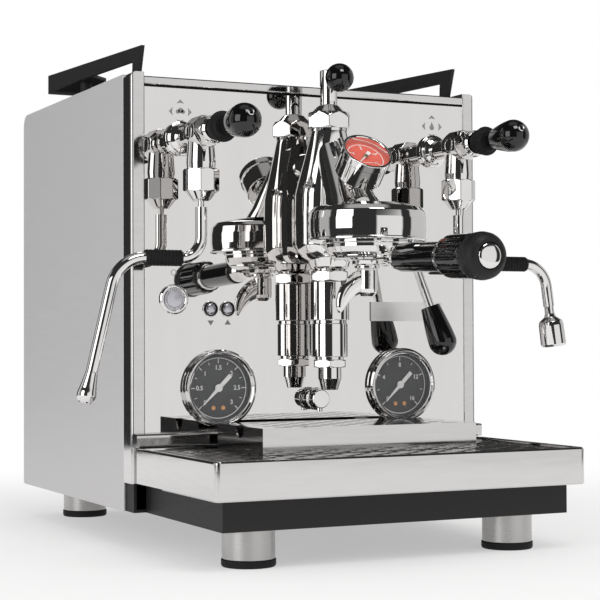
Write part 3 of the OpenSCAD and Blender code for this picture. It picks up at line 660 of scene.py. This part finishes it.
def build_panel_gauges():
    dials_low, dials_high = box_mm("gauge_dials")
    cases_high = box_mm("gauge_cases")[1]
    rim_r = 33.5
    centre_x = cases_high.x - rim_r
    centre_z = (dials_low.z + dials_high.z) / 2
    front = 7.7
    well_r = dials_high.x - centre_x + 0.2
    face = -dials_low.y
    bezel = spun([(well_r + 0.7, -26), (well_r + 0.7, -PANEL_FACE), (rim_r - 0.8, -PANEL_FACE),
        (rim_r, 0.6, 0.8), (rim_r, front - 2.6, 1.6), (rim_r - 1.5, front - 0.4, 0.8),
        (rim_r - 3.0, front, 0.8), (well_r + 0.2, front - 1.7, 0.5), (well_r - 0.9, front - 2.0, 0.3),
        (well_r - 0.9, front - 2.9), (well_r, front - 2.9), (well_r, face - 1.3), (0, face - 1.3)], 128, 6)
    bezel = bezel + lathe([(0, -26), (well_r + 0.7, -26)], 128)
    shape = total(bezel.moved(forwards(sx * centre_x, centre_z)) for sx in (-1, 1))
    piece("panel_gauge_cases", shape, "polished_steel", nodes=["gauge_cases"])
    paint_node("gauge_dials", "black_dial")
    paint_node("gauge_glasses", "gauge_glass")

    ring_r = 26.1
    boiler = dial_marks(ring_r, 6, 6, ["0", "0.5", "1", "1.5", "2", "2.5", "3"], 17.6, 5.4, face)
    pump = dial_marks(ring_r, 4, 4, ["0", "4", "8", "12", "16"], 18.0, 5.4, face)
    spot = lathe([(0, face + 0.12), (1.9, face + 0.12), (1.9, face), (0, face)], 32)
    spots = total(spot.shifted(x, -17.2) for x in (-4.6, 4.6))
    for name, marks, side in (("boiler", boiler, -1), ("pump", pump, 1)):
        at = forwards(side * centre_x, centre_z)
        piece(name + "_dial_marks", marks.moved(at), "scale_white")
        piece(name + "_dial_spots", spots.moved(at), "amber_print")
        needle = pointer(21.3, 15.5, 0.3)
        piece(name + "_pointer", needle.moved(at), "white_paint", name + "_pointer", [name + "_needle"])


def gauge_place():
    """Places a shape drawn along +Z on the group gauge's axis, its face at 0."""
    return Matrix.Translation(GAUGE_FACE) @ turn(GAUGE_TILT, "X")


def build_group_gauge():
    """The round gauge on the group, tilted back by half a right angle."""
    case_r, case_l = 21.85, 26.0
    at = gauge_place()
    case = spun([(0, -case_l), (case_r - 1.2, -case_l, 1.0), (case_r - 1.2, -7.5, 0.4),
        (case_r, -6.6, 0.5), (case_r, 0, 0.8), (case_r - 2.0, 0, 0.7), (case_r - 2.6, -0.9, 0.3),
        (case_r - 2.6, -8.1), (0, -8.1)], 128)
    stem = nut(9.0, 6, -case_l - 6, -case_l + 0.1)
    piece("group_gauge_case", (case + stem).moved(at), "chrome")
    paint_node("group_gauge_dial", "orange_dial")
    dial_z = -6.6
    marks = dial_marks(15.8, 4, 0, ["0", "4", "8", "12", "16"], 10.6, 3.4, dial_z)
    marks = marks + strip((-5, -7.5), (5, -7.5), 0.5, dial_z, dial_z + 0.1)
    piece("group_dial_marks", marks.moved(at), "white_paint")
    blade = prism([(0, -0.7), (13.5, -0.3), (13.5, 0.3), (0, 0.7)], -5.6, -5.2)
    tail = prism([(-7.5, 1.9), (-7.5, -1.9), (-3.2, -1.5), (0, -0.8), (0, 0.8), (-3.2, 1.5)], -5.6, -5.2)
    piece("group_pointer_blade", (blade + tail).turned(DIAL_START, "Z").moved(at), "white_paint",
        "group_pointer", ["group_needle"])
    hub = spun([(0, -5.9), (2.4, -5.9), (2.4, -4.9, 0.3), (1.2, -4.6, 0.3), (0, -4.5)], 40)
    piece("group_pointer_hub", hub.moved(at), "brass", "group_pointer")


# ---- panel controls


def build_controls():
    power = middle("power_button")
    small = [middle("down_button"), middle("up_button")]
    ring = spun([(9.5, -0.6), (13, -0.6), (13, 1.0, 0.8), (11.8, 2.2, 0.8), (10.3, 2.2, 0.6),
        (9.5, 1.4, 0.3)], 96, 5, True)
    socket = lathe([(9.5, 1.0), (10.5, 0.2), (10.5, -16), (0, -16), (0, -13), (9.5, -13)], 64)
    collar = (ring + socket).moved(forwards(power.x, power.z))
    for p in small:
        thin = spun([(4.9, -0.6), (7.0, -0.6), (7.0, 0.6, 0.4), (4.9, 0.6)], 72, 4, True)
        well = lathe([(4.9, 0.8), (5.6, 0.2), (5.6, -12), (0, -12), (0, -10), (4.9, -10)], 48)
        collar = collar + (thin + well).moved(forwards(p.x, p.z))
    piece("button_collars", collar, "chrome", nodes=["button_bezels"])
    disc = spun([(0, -8), (9.2, -8), (9.2, 1.9, 0.6), (7.9, 2.1, 0.3), (7.7, 1.7, 0.2), (7.1, 1.7, 0.2),
        (6.9, 2.3, 0.3), (3.5, 2.75), (0, 2.8)], 96, 4)
    piece("power_push", disc.moved(forwards(power.x, power.z)), "button_steel", "power_key",
        ["power_button"])
    for name, p in zip(("down", "up"), small):
        dome = lathe([(0, -5.4), (4.6, -5.4)]
            + [(4.6 * cos(a), 1.0 + 1.55 * sin(a)) for a in (radians(d) for d in range(0, 90, 10))]
            + [(0, 2.55)], 64)
        piece(name + "_push", dome.moved(forwards(p.x, p.z)), "button_steel", name + "_key",
            [name + "_button"])
        seal = spun([(4.95, -0.2), (6.3, -0.2), (6.3, 2.0, 0.5), (5.2, 2.1, 0.5), (4.95, 1.5)], 64, 4,
            True)
        piece(name + "_seal", seal.moved(forwards(p.x, p.z)), "rubber")


def build_icons():
    """Etched marks beside the valves and printed triangles under the small buttons: generic symbols."""
    proud = 0.12
    marks = Shape()
    for side in (-1, 1):
        icon = Shape()
        for quarter in range(4):
            head = prism([(7.0, -3.6), (10.6, 0), (7.0, 3.6), (7.6, 0)], 0, proud)
            icon = icon + head.turned(90 * quarter, "Z")
        if side < 0:
            puffs = [(-2.2, 0, 1.9), (0.4, 1.0, 2.4), (2.6, 0, 1.8)]
            for x, y, r in puffs:
                icon = icon + lathe([(0, proud), (r, proud), (r, 0), (0, 0)], 24).shifted(x, y)
        else:
            drop = [Vector(p[:2]) for p in curve([(0, 4.2, 0), (1.2, 1.6, 0), (2.4, -0.8, 0),
                (1.6, -2.8, 0), (0, -3.4, 0), (-1.6, -2.8, 0), (-2.4, -0.8, 0), (-1.2, 1.6, 0)], 3)]
            icon = icon + prism([tuple(p) for p in drop], 0, proud)
        marks = marks + icon.moved(forwards(VALVE_X * side, ICON_Z, PANEL_FACE))
    ring = lathe([(2.1, 0), (2.7, 0), (2.7, proud), (2.1, proud)], 32, True)
    marks = marks + ring.moved(forwards(-131.4, 234.9, PANEL_FACE))
    piece("etched_marks", marks, "etched")
    triangles = prism([(-3, 1.8), (0, -2.6), (3, 1.8)], 0, proud).moved(forwards(-97.2, SMALL_ICON_Z,
        PANEL_FACE))
    triangles = triangles + prism([(-3, -1.8), (3, -1.8), (0, 2.6)], 0,
        proud).moved(forwards(-81.2, SMALL_ICON_Z, PANEL_FACE))
    piece("button_triangles", triangles, "printed_grey")


# ---- group


def oval(half_x, half_y, x, y, z, power=2.0, steps=96):
    """Superellipse ring in a level plane."""
    ring = []
    for i in range(steps):
        a = 2 * pi * i / steps
        c, s = cos(a), sin(a)
        ring.append((x + half_x * copysign(abs(c) ** (2 / power), c), y
            + half_y * copysign(abs(s) ** (2 / power), s), z))
    return ring


def shaft_place():
    """Places a shape drawn along +Z on the brew lever's shaft, towards +X."""
    return shift(0, SHAFT_Y, SHAFT_Z) @ turn(90, "Y")


def build_group():
    column_y = middle("infusion_chamber").y
    column = [(243, 13, 13, -34, 2.0), (245, 18, 17, -33, 2.1), (249, 23, 19.8, -33, 2.3),
        (254, 26.3, 21.4, -32.3, 2.5), (260, 27.8, 22, -32, 2.8), (285, 28, 22, -32, 2.9),
        (303, 27.6, 22, -32, 2.9), (312, 26.0, 21.4, -32.5, 2.8), (330, 21.8, 19.2, -33.5, 2.5),
        (346, 18.2, 17.2, -34.5, 2.2), (354, 16.6, 16.2, column_y, 2.0), (358, 15.6, 15.6, column_y, 2.0)]
    body = loft([oval(a, b, 0, y, z, power) for z, a, b, y, power in column])
    neck = [(0.0, 14, 13, 2.0), (0.25, 16, 13.5, 2.2), (0.6, 19.5, 15, 2.5), (0.85, 22.0, 17, 2.4),
        (1.0, 25.5, 20, 2.2)]
    top, end = Vector((0, -37, 350)), Vector((0, -82, 290.2))
    rings = []
    for t, a, b, power in neck:
        p = top.lerp(end, t)
        rings.append(oval(a, b, 0, p.y, p.z, power))
    body = body + loft(rings)
    ridge = tube([(0, -57, 349), (0, -76, 322), (0, -92, 297), (0, -96, 292)], lambda t: 3.2 + 3.6 * t, 24)
    body = body + ridge
    flange = prism(fillets([(-26, 244, 10), (26, 244, 10), (26, 348, 10), (-26, 348, 10)], 6, True), 0, 5)
    flange = flange.moved(Matrix(((1, 0, 0, 0), (0, 0, -1, PANEL_FACE), (0, 1, 0, 0), (0, 0, 0, 1))))
    stubs = total(lathe([(0, -14), (14, -14), (14, 34), (0, 34)], 64).moved(forwards(0, z)) for z in (262,
        330))
    spigot = spun([(0, 236.6), (14, 236.6, 0.5), (16.8, 240, 2), (19.5, 248), (0, 248)]).shifted(0,
        column_y)
    housing = spun([(0, 10), (12, 10), (12, 58, 0.4), (10.8, 61.5, 0.8), (0, 61.5)])
    housing = housing.moved(shaft_place())
    boss = spun([(0, -42), (11, -42), (10, -33, 1), (10, -32, 0.5), (0, -32)], 64).moved(gauge_place())
    piece("group_casting", body + flange + stubs + spigot + housing + boss, "chrome", nodes=["group_body"],
        crease=40)

    bell_low, bell_high = box_mm("group_bell")
    bell = middle("group_bell")
    r = (bell_high.x - bell_low.x) / 2
    z0 = bell_low.z
    outline = fillets([(37, z0), (r - 0.9, z0, 0.5), (r, z0 + 0.8, 0.4), (r, z0 + 2.2, 0.4),
        (r - 0.9, z0 + 2.7, 0.3), (r - 0.1, z0 + 9.0, 6.0), (r - 0.1, z0 + 18.0, 8.0),
        (r - 1.2, z0 + 24.4, 3.0), (r - 4.6, z0 + 28.2, 2.5), (34, z0 + 31.2, 1.0), (0, z0 + 31.3)], 6)
    inner = [(37, z0), (37, z0 + 18.4), (0, z0 + 18.4)]
    piece("bell_shell", (lathe(outline, 144) + lathe(inner, 96)).shifted(0, bell.y), "chrome",
        nodes=["group_bell"])
    paint_node("group_gasket", "rubber")
    paint_node("shower_screen", "brushed_steel")

    cap_z = box_mm("mushroom_cap")[0].z
    hexagon = nut(20.8, 6, cap_z + 2.4, cap_z + 16.5, 1.4, 5.0, start=4)
    cone = spun([(0, cap_z + 14), (17.6, cap_z + 14.2), (9.6, cap_z + 22.6, 1.0), (0, cap_z + 22.7)], 96)
    base = lathe([(0, cap_z), (15.8, cap_z), (16, cap_z + 2.5), (0, cap_z + 2.5)], 96)
    piece("hexagon_cap", (hexagon + cone + base).shifted(0, column_y), "chrome", nodes=["mushroom_cap"])

    spindle = spun([(0, 381.3), (7.5, 381.3, 0.4), (7.5, 411.8, 0.9), (0, 411.8)]).shifted(0, column_y)
    ball = middle("flow_knob")
    flat = cuboid((-2.2, column_y - 8.2, 384), (2.2, column_y - 6.6, 409))
    arm = tube([(0, column_y, ball.z), (ball.x * 0.6, column_y - 14, ball.z)], 4, 32)
    piece("flow_stem", spindle + flat + arm, "chrome", "flow_control", ["flow_spindle"], bevel=0.3)
    ball_r = 12.3
    outline = [(0, -ball_r)] + [(ball_r * cos(radians(a)), ball_r * sin(radians(a))) for a in range(-84,
        72, 6)]
    outline = outline + [(4.6, ball_r * 0.925), (4.2, ball_r * 0.86), (0, ball_r * 0.86)]
    knob = lathe(outline, 72).moved(along(ball, (0, column_y, ball.z)))
    piece("flow_ball", knob, "gloss_black", "flow_control", ["flow_knob"])

    chamber = nut(18.5, 6, 227.5, 236.5, 1.6, 1.6, start=4)
    chamber = chamber + spun([(0, 191), (14.8, 191), (14.8, 193.5), (17.25, 193.5, 0.9),
        (17.25, 227.4, 0.8), (0, 227.4)], 96)
    chamber = chamber + spun([(0, 159.6), (13, 159.6), (13, 161.7), (15.7, 161.7, 0.7), (15.7, 191, 0.8),
        (0, 191.2)], 96)
    chamber = chamber + nut(16, 6, 152.6, 159.5, 1.4, 1.4, start=4)
    chamber = chamber + spun([(0, 133.2), (7.2, 133.2, 0.5), (10.2, 143, 0.3), (10.2, 152.7), (0, 152.7)])
    piece("infusion_column", chamber.shifted(0, column_y), "chrome", nodes=["infusion_chamber"])

    spout = spun([(0, -12), (6, -12), (6, -0.4), (8.2, -0.4, 0.3), (8.2, 4, 0.3), (10, 4.4, 0.5),
        (10, 8.8, 0.5), (8.2, 9.2, 0.3), (8.2, 18.2, 0.3), (7.6, 19, 0.4), (0, 19)]).moved(forwards(0,
        DRAIN_Z))
    outlet = spun([(1.8, 0), (2.6, 0, 0.3), (2.6, 8), (0, 8), (0, 5), (1.8, 5)], 32).shifted(0, -15,
        DRAIN_Z - 11)
    piece("drain_outlet", spout + outlet, "chrome", nodes=["drain_spout"])


def teardrop(length, neck_r, full_r, steps=7):
    """Grip about Z: narrow end at 0, full round end at length."""
    c = length - full_r
    line = curve([(neck_r, 0.4, 0), (neck_r + (full_r - neck_r) * 0.42, c * 0.35, 0),
        (neck_r + (full_r - neck_r) * 0.82, c * 0.72, 0), (full_r, c, 0)], steps)
    outline = [(0, 0), (neck_r - 0.5, 0)] + [(p.x, p.y) for p in line]
    for a in range(8, 90, 8):
        outline.append((full_r * cos(radians(a)), c + full_r * sin(radians(a))))
    return lathe(outline + [(0, length)], 72)


def build_lever():
    hub_at = Vector((76, SHAFT_Y, SHAFT_Z))
    end = Vector((107, -55, 163))
    hub = spun([(0, 61.8), (10, 61.8, 0.6), (10, 83, 1.0), (8, 85, 0.5), (8, 87, 0.6), (0, 87)])
    hub = hub.moved(shaft_place())
    way = end - hub_at
    rod = tube([hub_at, hub_at + way * 0.3, hub_at + way * 0.62], 4, 40)
    piece("lever_rod", hub + rod, "chrome", "brew_lever", ["brew_lever"])
    start = hub_at + way * 0.6
    grip = teardrop((end - start).length, 8.6, 12.6).moved(along(start, end))
    piece("lever_grip", grip, "gloss_black", "brew_lever", ["lever_handle"])


# ---- portafilter


def build_portafilter():
    axis_y = middle("group_bell").y
    high = box_mm("portafilter_body")[1]
    r = high.x
    z0 = box_mm("portafilter_spout")[1].z + 0.2
    top = high.z
    cup = spun([(5, z0), (25, z0, 1.0), (29.5, z0 + 1.6, 3.0), (33.6, z0 + 6.0, 3.0),
        (35.2, z0 + 10.5, 2.0), (35.2, z0 + 13.4, 0.4), (r, z0 + 14.0, 0.4), (r, top, 0.5),
        (32.6, top, 0.5), (31.5, top - 1.5), (31.5, z0 + 3), (5, z0 + 3)], 128, 5, True)
    cup = cup.shifted(0, axis_y)
    drop = radians(HANDLE_DROP)
    start = Vector((0, axis_y, HANDLE_Z + 60 * sin(drop)))
    way = Vector((0, -cos(drop), -sin(drop)))
    run = along(start, start + way)
    neck = spun([(0, 31), (7.4, 31), (6.6, 40, 3), (7.2, 46, 2), (9.6, 51, 2), (10.2, 56, 0.6),
        (9.6, 60, 0.4), (0, 60)]).moved(run)
    piece("portafilter_cup", cup + neck, "chrome", "portafilter", ["portafilter_body"])
    paint_node("filter_basket", "polished_steel")

    sleeve = spun([(0, 60.1), (10.6, 60.1, 0.8), (11.5, 62, 0.8), (11.7, 90), (11.7, 128, 0.3), (0, 128)],
        96)
    piece("handle_tube", sleeve.moved(run), "gloss_black", "portafilter", ["portafilter_handle"])
    ring = spun([(0, 128), (12.2, 128, 0.4), (13.4, 129.5, 0.8), (13.5, 132.4, 0.8), (12.6, 134.2),
        (0, 134.2)], 96)
    piece("handle_ring", ring.moved(run), "chrome", "portafilter")

    def flute(a):
        return 1.0 - 0.085 * max(0.0, cos(12 * a)) ** 1.5
    levels = [(134.2, 13.4, 0.0), (135.0, 15.2, 0.2), (136.6, 16.3, 0.6), (140, 16.8, 1.0),
        (165, 17.2, 1.0), (170, 17.1, 0.6), (171.8, 16.6, 0.1), (172.6, 16.0, 0.0)]
    rings = [circle(rr, h, 192, lambda a, d=depth: 1.0 - d * (1.0 - flute(a))) for h, rr, depth in levels]
    piece("handle_grip", loft(rings).moved(run), "gloss_black", "portafilter")
    collar = spun([(0, 171), (16.5, 172.2, 0.6), (17.8, 175.5, 2.0), (18.1, 180, 3.0), (17.4, 185, 3.0),
        (15.4, 188.6, 2.0), (12.6, 190.6, 1.0), (10.4, 190.9, 0.3), (9.6, 188.5), (0, 188.5)], 128)
    piece("handle_end", collar.moved(run), "black_plastic", "portafilter", crease=50)
    disc = lathe([(0, 188.4), (9.5, 188.4), (9.5, 190.6), (9.0, 191.3), (7.5, 191.9), (4.5, 192.35),
        (0, 192.45)], 72)
    piece("handle_disc", disc.moved(run), "chrome", "portafilter")

    stack = spun([(0, 213), (5.6, 213, 0.8), (8.4, 216, 1.5), (8.8, 219, 1), (8.8, 234.5, 0.6),
        (8.0, 235.6, 0.3), (10.4, 236.2, 0.4), (10.5, 238.6, 0.6), (12.6, 239.6, 0.6), (13.0, 242.6),
        (0, 242.8)])
    centre = curve([(2, 0, 226), (-8, 0, 224.5), (-17.0, 0, 218.5), (-22.6, 0, 211), (-25.2, 0, 204),
        (-25.9, 0, 199.2)], 6)

    def horn(share):
        return 11.2 * (1 - share) ** 0.75 + 0.8

    def trough(a, reach):
        """Flat, hollow-faced section: wide along the claw's depth."""
        c, s = cos(a), sin(a)
        return 0.95 * reach * c, (5.4 * (0.35 + 0.65 * reach / 12)) * s
    claw = tube(centre, horn, 48, trough)
    piece("spout_claw", (stack + claw).shifted(0, axis_y), "chrome", "portafilter", ["portafilter_spout"],
        crease=40)


# ---- valves and wands


def build_valve(side, arm, stick):
    """One valve: drawn at +X, mirrored for the steam side."""
    def own(shape):
        return shape if side > 0 else shape.mirrored()
    at = forwards(VALVE_X, VALVE_Z)
    prefix = "steam" if side < 0 else "water"
    collars = spun([(0, -24), (8.5, -24), (8.5, -0.6), (15, -0.6), (15, 2.6, 0.8), (13.2, 3.4, 0.6),
        (12.5, 4.2, 0.5), (12.5, 7.4, 0.6), (10.8, 8.6, 0.5), (9.2, 9.6, 0.4), (8.5, 10.4, 0.3),
        (8.5, 30, 0.4), (9.6, 31, 0.4), (9.6, 34, 0.4), (8.4, 35), (8.4, 38.5), (0, 38.5)], 96, 4)
    block = nut(14.0, 8, 38, 62, 2.0, 2.0, start=22.5)
    block = block + nut(12.6, 6, 62, 72.5, 1.0, 1.4, start=0)
    block = block + spun([(0, 72.4), (11.4, 72.4, 0.4), (11.4, 76, 0.5), (9.8, 78, 0.5), (6.4, 78, 0.4),
        (6.0, 74), (0, 74)], 72, 4)
    cheek = spun([(0, 12.2), (7.2, 12.2), (7.2, 13.2, 0.4), (5.4, 13.4, 0.2), (5.2, 12.9), (0, 12.9)], 48,
        3)
    cheeks = total(cheek.moved(shift(VALVE_X, -50, VALVE_Z) @ turn(90 * s, "Y")) for s in (-1, 1))
    drop = spun([(0, 318), (11.6, 318), (12.4, 325, 2), (11.2, 340, 4), (10.6, 350), (0, 350)], 72, 4)
    lock = nut(15.3, 8, 300.6, 319.6, 1.4, 1.2, start=22.5)
    neck = spun([(0, 292.7), (6.4, 292.7, 0.5), (8.0, 294.2, 0.8), (14.2, 302), (0, 302)], 64, 3)
    shape = (collars + block).moved(at) + cheeks + (drop + lock + neck).shifted(VALVE_X, WAND_Y)
    piece(prefix + "_valve_body", own(shape), "chrome", nodes=[prefix + "_valve"], crease=30)
    paint_node(prefix + "_pivot", "chrome")

    at = forwards(VALVE_X, VALVE_Z, STICK_TIP_Y)
    stem = lathe([(0, 5.4), (3, 5.4), (3, 33), (0, 33)], 32)
    grip = teardrop(45.7, 8, 13.7).shifted(0, 0, 30)
    piece(prefix + "_knob_grip", own((stem + grip).moved(at)), "gloss_black", stick, [prefix + "_knob"])
    insert = lathe([(1.7, 75.0), (2.2, 75.75), (2.9, 75.55), (3.1, 74.9)], 48, True)
    piece(prefix + "_knob_insert", own(insert.moved(at @ turn(-4, "X"))), "chrome", stick)
    line = [(3.1, 7.2)]
    for h, rr in ((10, 10.8), (14.5, 11.8), (19, 12.8)):
        line = line + [(rr - 2.6, h - 2.2), (rr - 0.5, h - 1.5), (rr, h), (rr - 0.5, h + 1.5),
            (rr - 2.6, h + 2.2)]
    line = line + [(8.6, 23.5), (3.1, 23.5)]
    boot = spun([(a, b, 0.6) for a, b in line], 72, 3, True)
    piece(prefix + "_boot", own(boot.moved(at)), "rubber", stick, [prefix + "_bellows"], crease=60)

    paint_node(prefix + "_wand", "chrome")
    low, high = box_mm(prefix + "_grip")
    x0, x1 = sorted((abs(low.x), abs(high.x)))
    pitch = 3.1
    wand_r = 5.05
    line = [(wand_r, 0)]
    count = int((x1 - x0) / pitch)
    pitch = (x1 - x0) / count
    for i in range(count):
        h = i * pitch
        line = line + [(6.2, h + 0.15), (6.8, h + 0.5), (6.8, h + pitch * 0.62), (6.2, h + pitch * 0.82)]
    line = line + [(6.2, x1 - x0 - 0.05), (wand_r, x1 - x0)]
    sleeve = lathe(line, 64, True).moved(shift(x0, WAND_Y, WAND_Z) @ turn(90, "Y"))
    piece(prefix + "_grip_sleeve", own(sleeve), "rubber", arm, [prefix + "_grip"])


def wand_end(run, out_r, bend_angle, last):
    """Start and direction of a wand's nozzle, at +X."""
    a = radians(bend_angle)
    heading = Vector((cos(a), 0, -sin(a)))
    bend = Vector((run + out_r * sin(a), 0, WAND_Z - out_r + out_r * cos(a)))
    return Vector((VALVE_X, WAND_Y, 0)) + bend + heading * last, heading


def build_nozzles():
    start, heading = wand_end(49.5, 30, 76.5, 72)
    tip = [(p.x, p.y) for p in curve([(5.2, 1.2, 0), (5.8, 6, 0), (6.9, 13, 0), (7.9, 18.5, 0),
        (7.6, 21.5, 0), (5.8, 24.6, 0), (3.2, 25.9, 0)], 5)]
    shape = lathe([(0, 0.1), (4.7, 0.1), (5.2, 0.6)] + tip + [(0, 26)], 72)
    # Dark rubber discs stand in for the shaded insides of the tip's holes: painted shade.
    hole_shade_disc = lathe([(0, 0), (0.8, 0), (0.8, 0.25), (0, 0.25)], 16)
    hole_shade_disc = hole_shade_disc.moved(shift(4.9, 0, 25.2) @ turn(42, "Y"))
    hole_shade_discs = total(hole_shade_disc.turned(90 * i, "Z") for i in range(4))
    at = along(start, start + heading)
    piece("steam_tip", shape.moved(at).mirrored(), "chrome", "steam_arm", ["steam_nozzle"])
    piece("steam_tip_hole_shade", hole_shade_discs.moved(at).mirrored(), "rubber", "steam_arm")
    start, heading = wand_end(70.5, 24, 82, 18)
    cup = spun([(0, 0.1), (4.2, 0.1), (4.4, 6.5, 1.0), (5.6, 10, 1.5), (10.4, 13.6, 2.0), (11.4, 17, 1.5),
        (11.6, 34.6, 0.6), (11.0, 36.8, 0.5), (9.8, 37), (9.4, 31), (0, 31)], 96, 4)
    piece("water_tip", cup.moved(along(start, start + heading)), "chrome", "water_arm", ["water_nozzle"])


# ---- studio


def soft_light(name, place, size, power, target=(0.0, 0.0, 0.2)):
    data = bpy.data.lights.new(name, "AREA")
    data.shape = "RECTANGLE"
    data.size, data.size_y = size
    data.energy = power
    obj = bpy.data.objects.new(name, data)
    bpy.context.scene.collection.objects.link(obj)
    obj.location = place
    obj.rotation_euler = (Vector(target) - Vector(place)).to_track_quat("-Z", "Y").to_euler()
    obj.visible_camera = False
    return obj


def around(azimuth, elevation, distance):
    """Point round the machine: azimuth 0 in front, positive to its right, in degrees."""
    a, e = radians(azimuth), radians(elevation)
    return Vector((sin(a) * cos(e), -cos(a) * cos(e), sin(e))) * distance


def build_world():
    """White for the camera. The metal reflects a studio with pale screens and dark gaps between them."""
    world = bpy.data.worlds.new("studio")
    bpy.context.scene.world = world
    world.use_nodes = True
    tree = world.node_tree
    tree.nodes.clear()
    link = tree.links.new

    def maths(operation, a, b=None):
        node = add_node(tree, "Math")
        node.operation = operation
        for i, value in enumerate((a, b)):
            if value is None:
                continue
            if isinstance(value, (int, float)):
                node.inputs[i].default_value = value
            else:
                link(value, node.inputs[i])
        return node.outputs[0]

    place = add_node(tree, "TexCoord")
    split = add_node(tree, "SeparateXYZ")
    link(place.outputs["Generated"], split.inputs[0])
    azimuth = maths("MULTIPLY", maths("ARCTAN2", split.outputs["X"], maths("MULTIPLY", split.outputs["Y"],
        -1.0)), 180 / pi)
    height = split.outputs["Z"]

    def step(value, edge, softness):
        node = add_node(tree, "MapRange", From_Min=edge - softness, From_Max=edge + softness)
        node.interpolation_type = "SMOOTHSTEP"
        link(value, node.inputs["Value"])
        return node.outputs["Result"]

    def screen(a0, a1, z0, z1, level, soft=2.5):
        wide = maths("MULTIPLY", step(azimuth, a0, soft), maths("SUBTRACT", 1.0, step(azimuth, a1, soft)))
        tall = maths("MULTIPLY", step(height, z0, 0.02), maths("SUBTRACT", 1.0, step(height, z1, 0.06)))
        return maths("MULTIPLY", maths("MULTIPLY", wide, tall), level)

    screens = [(-9, 45, -1.1, 0.36, 0.86), (67, 140, -1.1, 0.55, 0.60), (-129, -106, -1.1, 0.5, 0.45),
        (-144, -131, -1.1, 0.6, 0.95)]
    level = 0.035
    for s in screens:
        level = maths("ADD", screen(*s), level)
    overhead = maths("MULTIPLY", step(height, 0.93, 0.03), 0.4)
    level = maths("ADD", level, overhead)
    seen = add_node(tree, "LightPath")
    mix = add_node(tree, "Mix")
    mix.data_type = "FLOAT"
    diffuse = 0.62
    inner = add_node(tree, "Mix")
    inner.data_type = "FLOAT"
    link(seen.outputs["Is Diffuse Ray"], inner.inputs["Factor"])
    link(level, inner.inputs["A"])
    inner.inputs["B"].default_value = diffuse
    link(seen.outputs["Is Camera Ray"], mix.inputs["Factor"])
    link(inner.outputs["Result"], mix.inputs["A"])
    mix.inputs["B"].default_value = 1.0
    background = add_node(tree, "Background", Color=(1.0, 1.0, 1.0, 1.0))
    link(mix.outputs["Result"], background.inputs["Strength"])
    output = add_node(tree, "OutputWorld")
    link(background.outputs["Background"], output.inputs["Surface"])


def build_floor():
    """Pale floor that brightens into the white background away from the machine."""
    radius = 1.3
    mesh = bpy.data.meshes.new("floor")
    ring = circle(radius, 0, 96)
    mesh.from_pydata(ring, [], [tuple(range(len(ring)))])
    floor = bpy.data.objects.new("floor", mesh)
    bpy.context.scene.collection.objects.link(floor)
    material, tree, shader = node_material("floor_white")
    shader.inputs["Roughness"].default_value = 0.9
    shader.inputs["Specular IOR Level"].default_value = 0.0
    place = add_node(tree, "TexCoord")
    length = add_node(tree, "VectorMath")
    length.operation = "LENGTH"
    tree.links.new(place.outputs["Object"], length.inputs[0])
    fade = add_node(tree, "MapRange", From_Min=0.2, From_Max=0.9, To_Min=0.45)
    fade.interpolation_type = "SMOOTHSTEP"
    tree.links.new(length.outputs["Value"], fade.inputs["Value"])
    glow = add_node(tree, "Emission", Color=(1.0, 1.0, 1.0, 1.0))
    mix = add_node(tree, "MixShader")
    tree.links.new(fade.outputs["Result"], mix.inputs["Fac"])
    tree.links.new(shader.outputs["BSDF"], mix.inputs[1])
    tree.links.new(glow.outputs["Emission"], mix.inputs[2])
    tree.links.new(tinted(tree, noise(tree, 6), (0.90, 0.89, 0.885), (0.92, 0.91, 0.905)),
        shader.inputs["Base Color"])
    tree.links.new(mix.outputs["Shader"], tree.nodes["Material Output"].inputs["Surface"])
    mesh.materials.append(material)


def build_camera():
    place = Vector((-0.6455, -1.3254, 0.1820))
    yaw, pitch, roll = radians(25.77), radians(1.178), radians(-0.211)
    data = bpy.data.cameras.new("camera")
    data.lens = 98.51
    data.sensor_width = 36.0
    camera = bpy.data.objects.new("camera", data)
    bpy.context.scene.collection.objects.link(camera)
    ahead = Vector((sin(yaw) * cos(pitch), cos(yaw) * cos(pitch), sin(pitch)))
    right = Vector((cos(yaw), -sin(yaw), 0))
    up = right.cross(ahead)
    turned_right = right * cos(roll) + up * sin(roll)
    turned_up = up * cos(roll) - right * sin(roll)
    rotation = Matrix((turned_right, turned_up, -ahead)).transposed()
    camera.matrix_world = Matrix.Translation(place) @ rotation.to_4x4()
    bpy.context.scene.camera = camera


def build_studio():
    build_world()
    build_floor()
    soft_light("softbox_left", around(-70, 17, 2.2), (1.25, 1.4), 13)
    soft_light("softbox_top", around(0, 58, 1.9), (0.6, 0.5), 7)
    fill = soft_light("fill_right", around(25, 35, 2.4), (0.9, 1.1), 8)
    fill.visible_glossy = False
    bpy.context.scene.view_settings.view_transform = "Standard"
    build_camera()


make_finishes()
build_casing()
build_feet()
build_tray()
build_panel_gauges()
build_group_gauge()
build_controls()
build_icons()
build_group()
build_lever()
build_portafilter()
build_valve(-1, "steam_arm", "steam_stick")
build_valve(1, "water_arm", "water_stick")
build_nozzles()
build_studio()
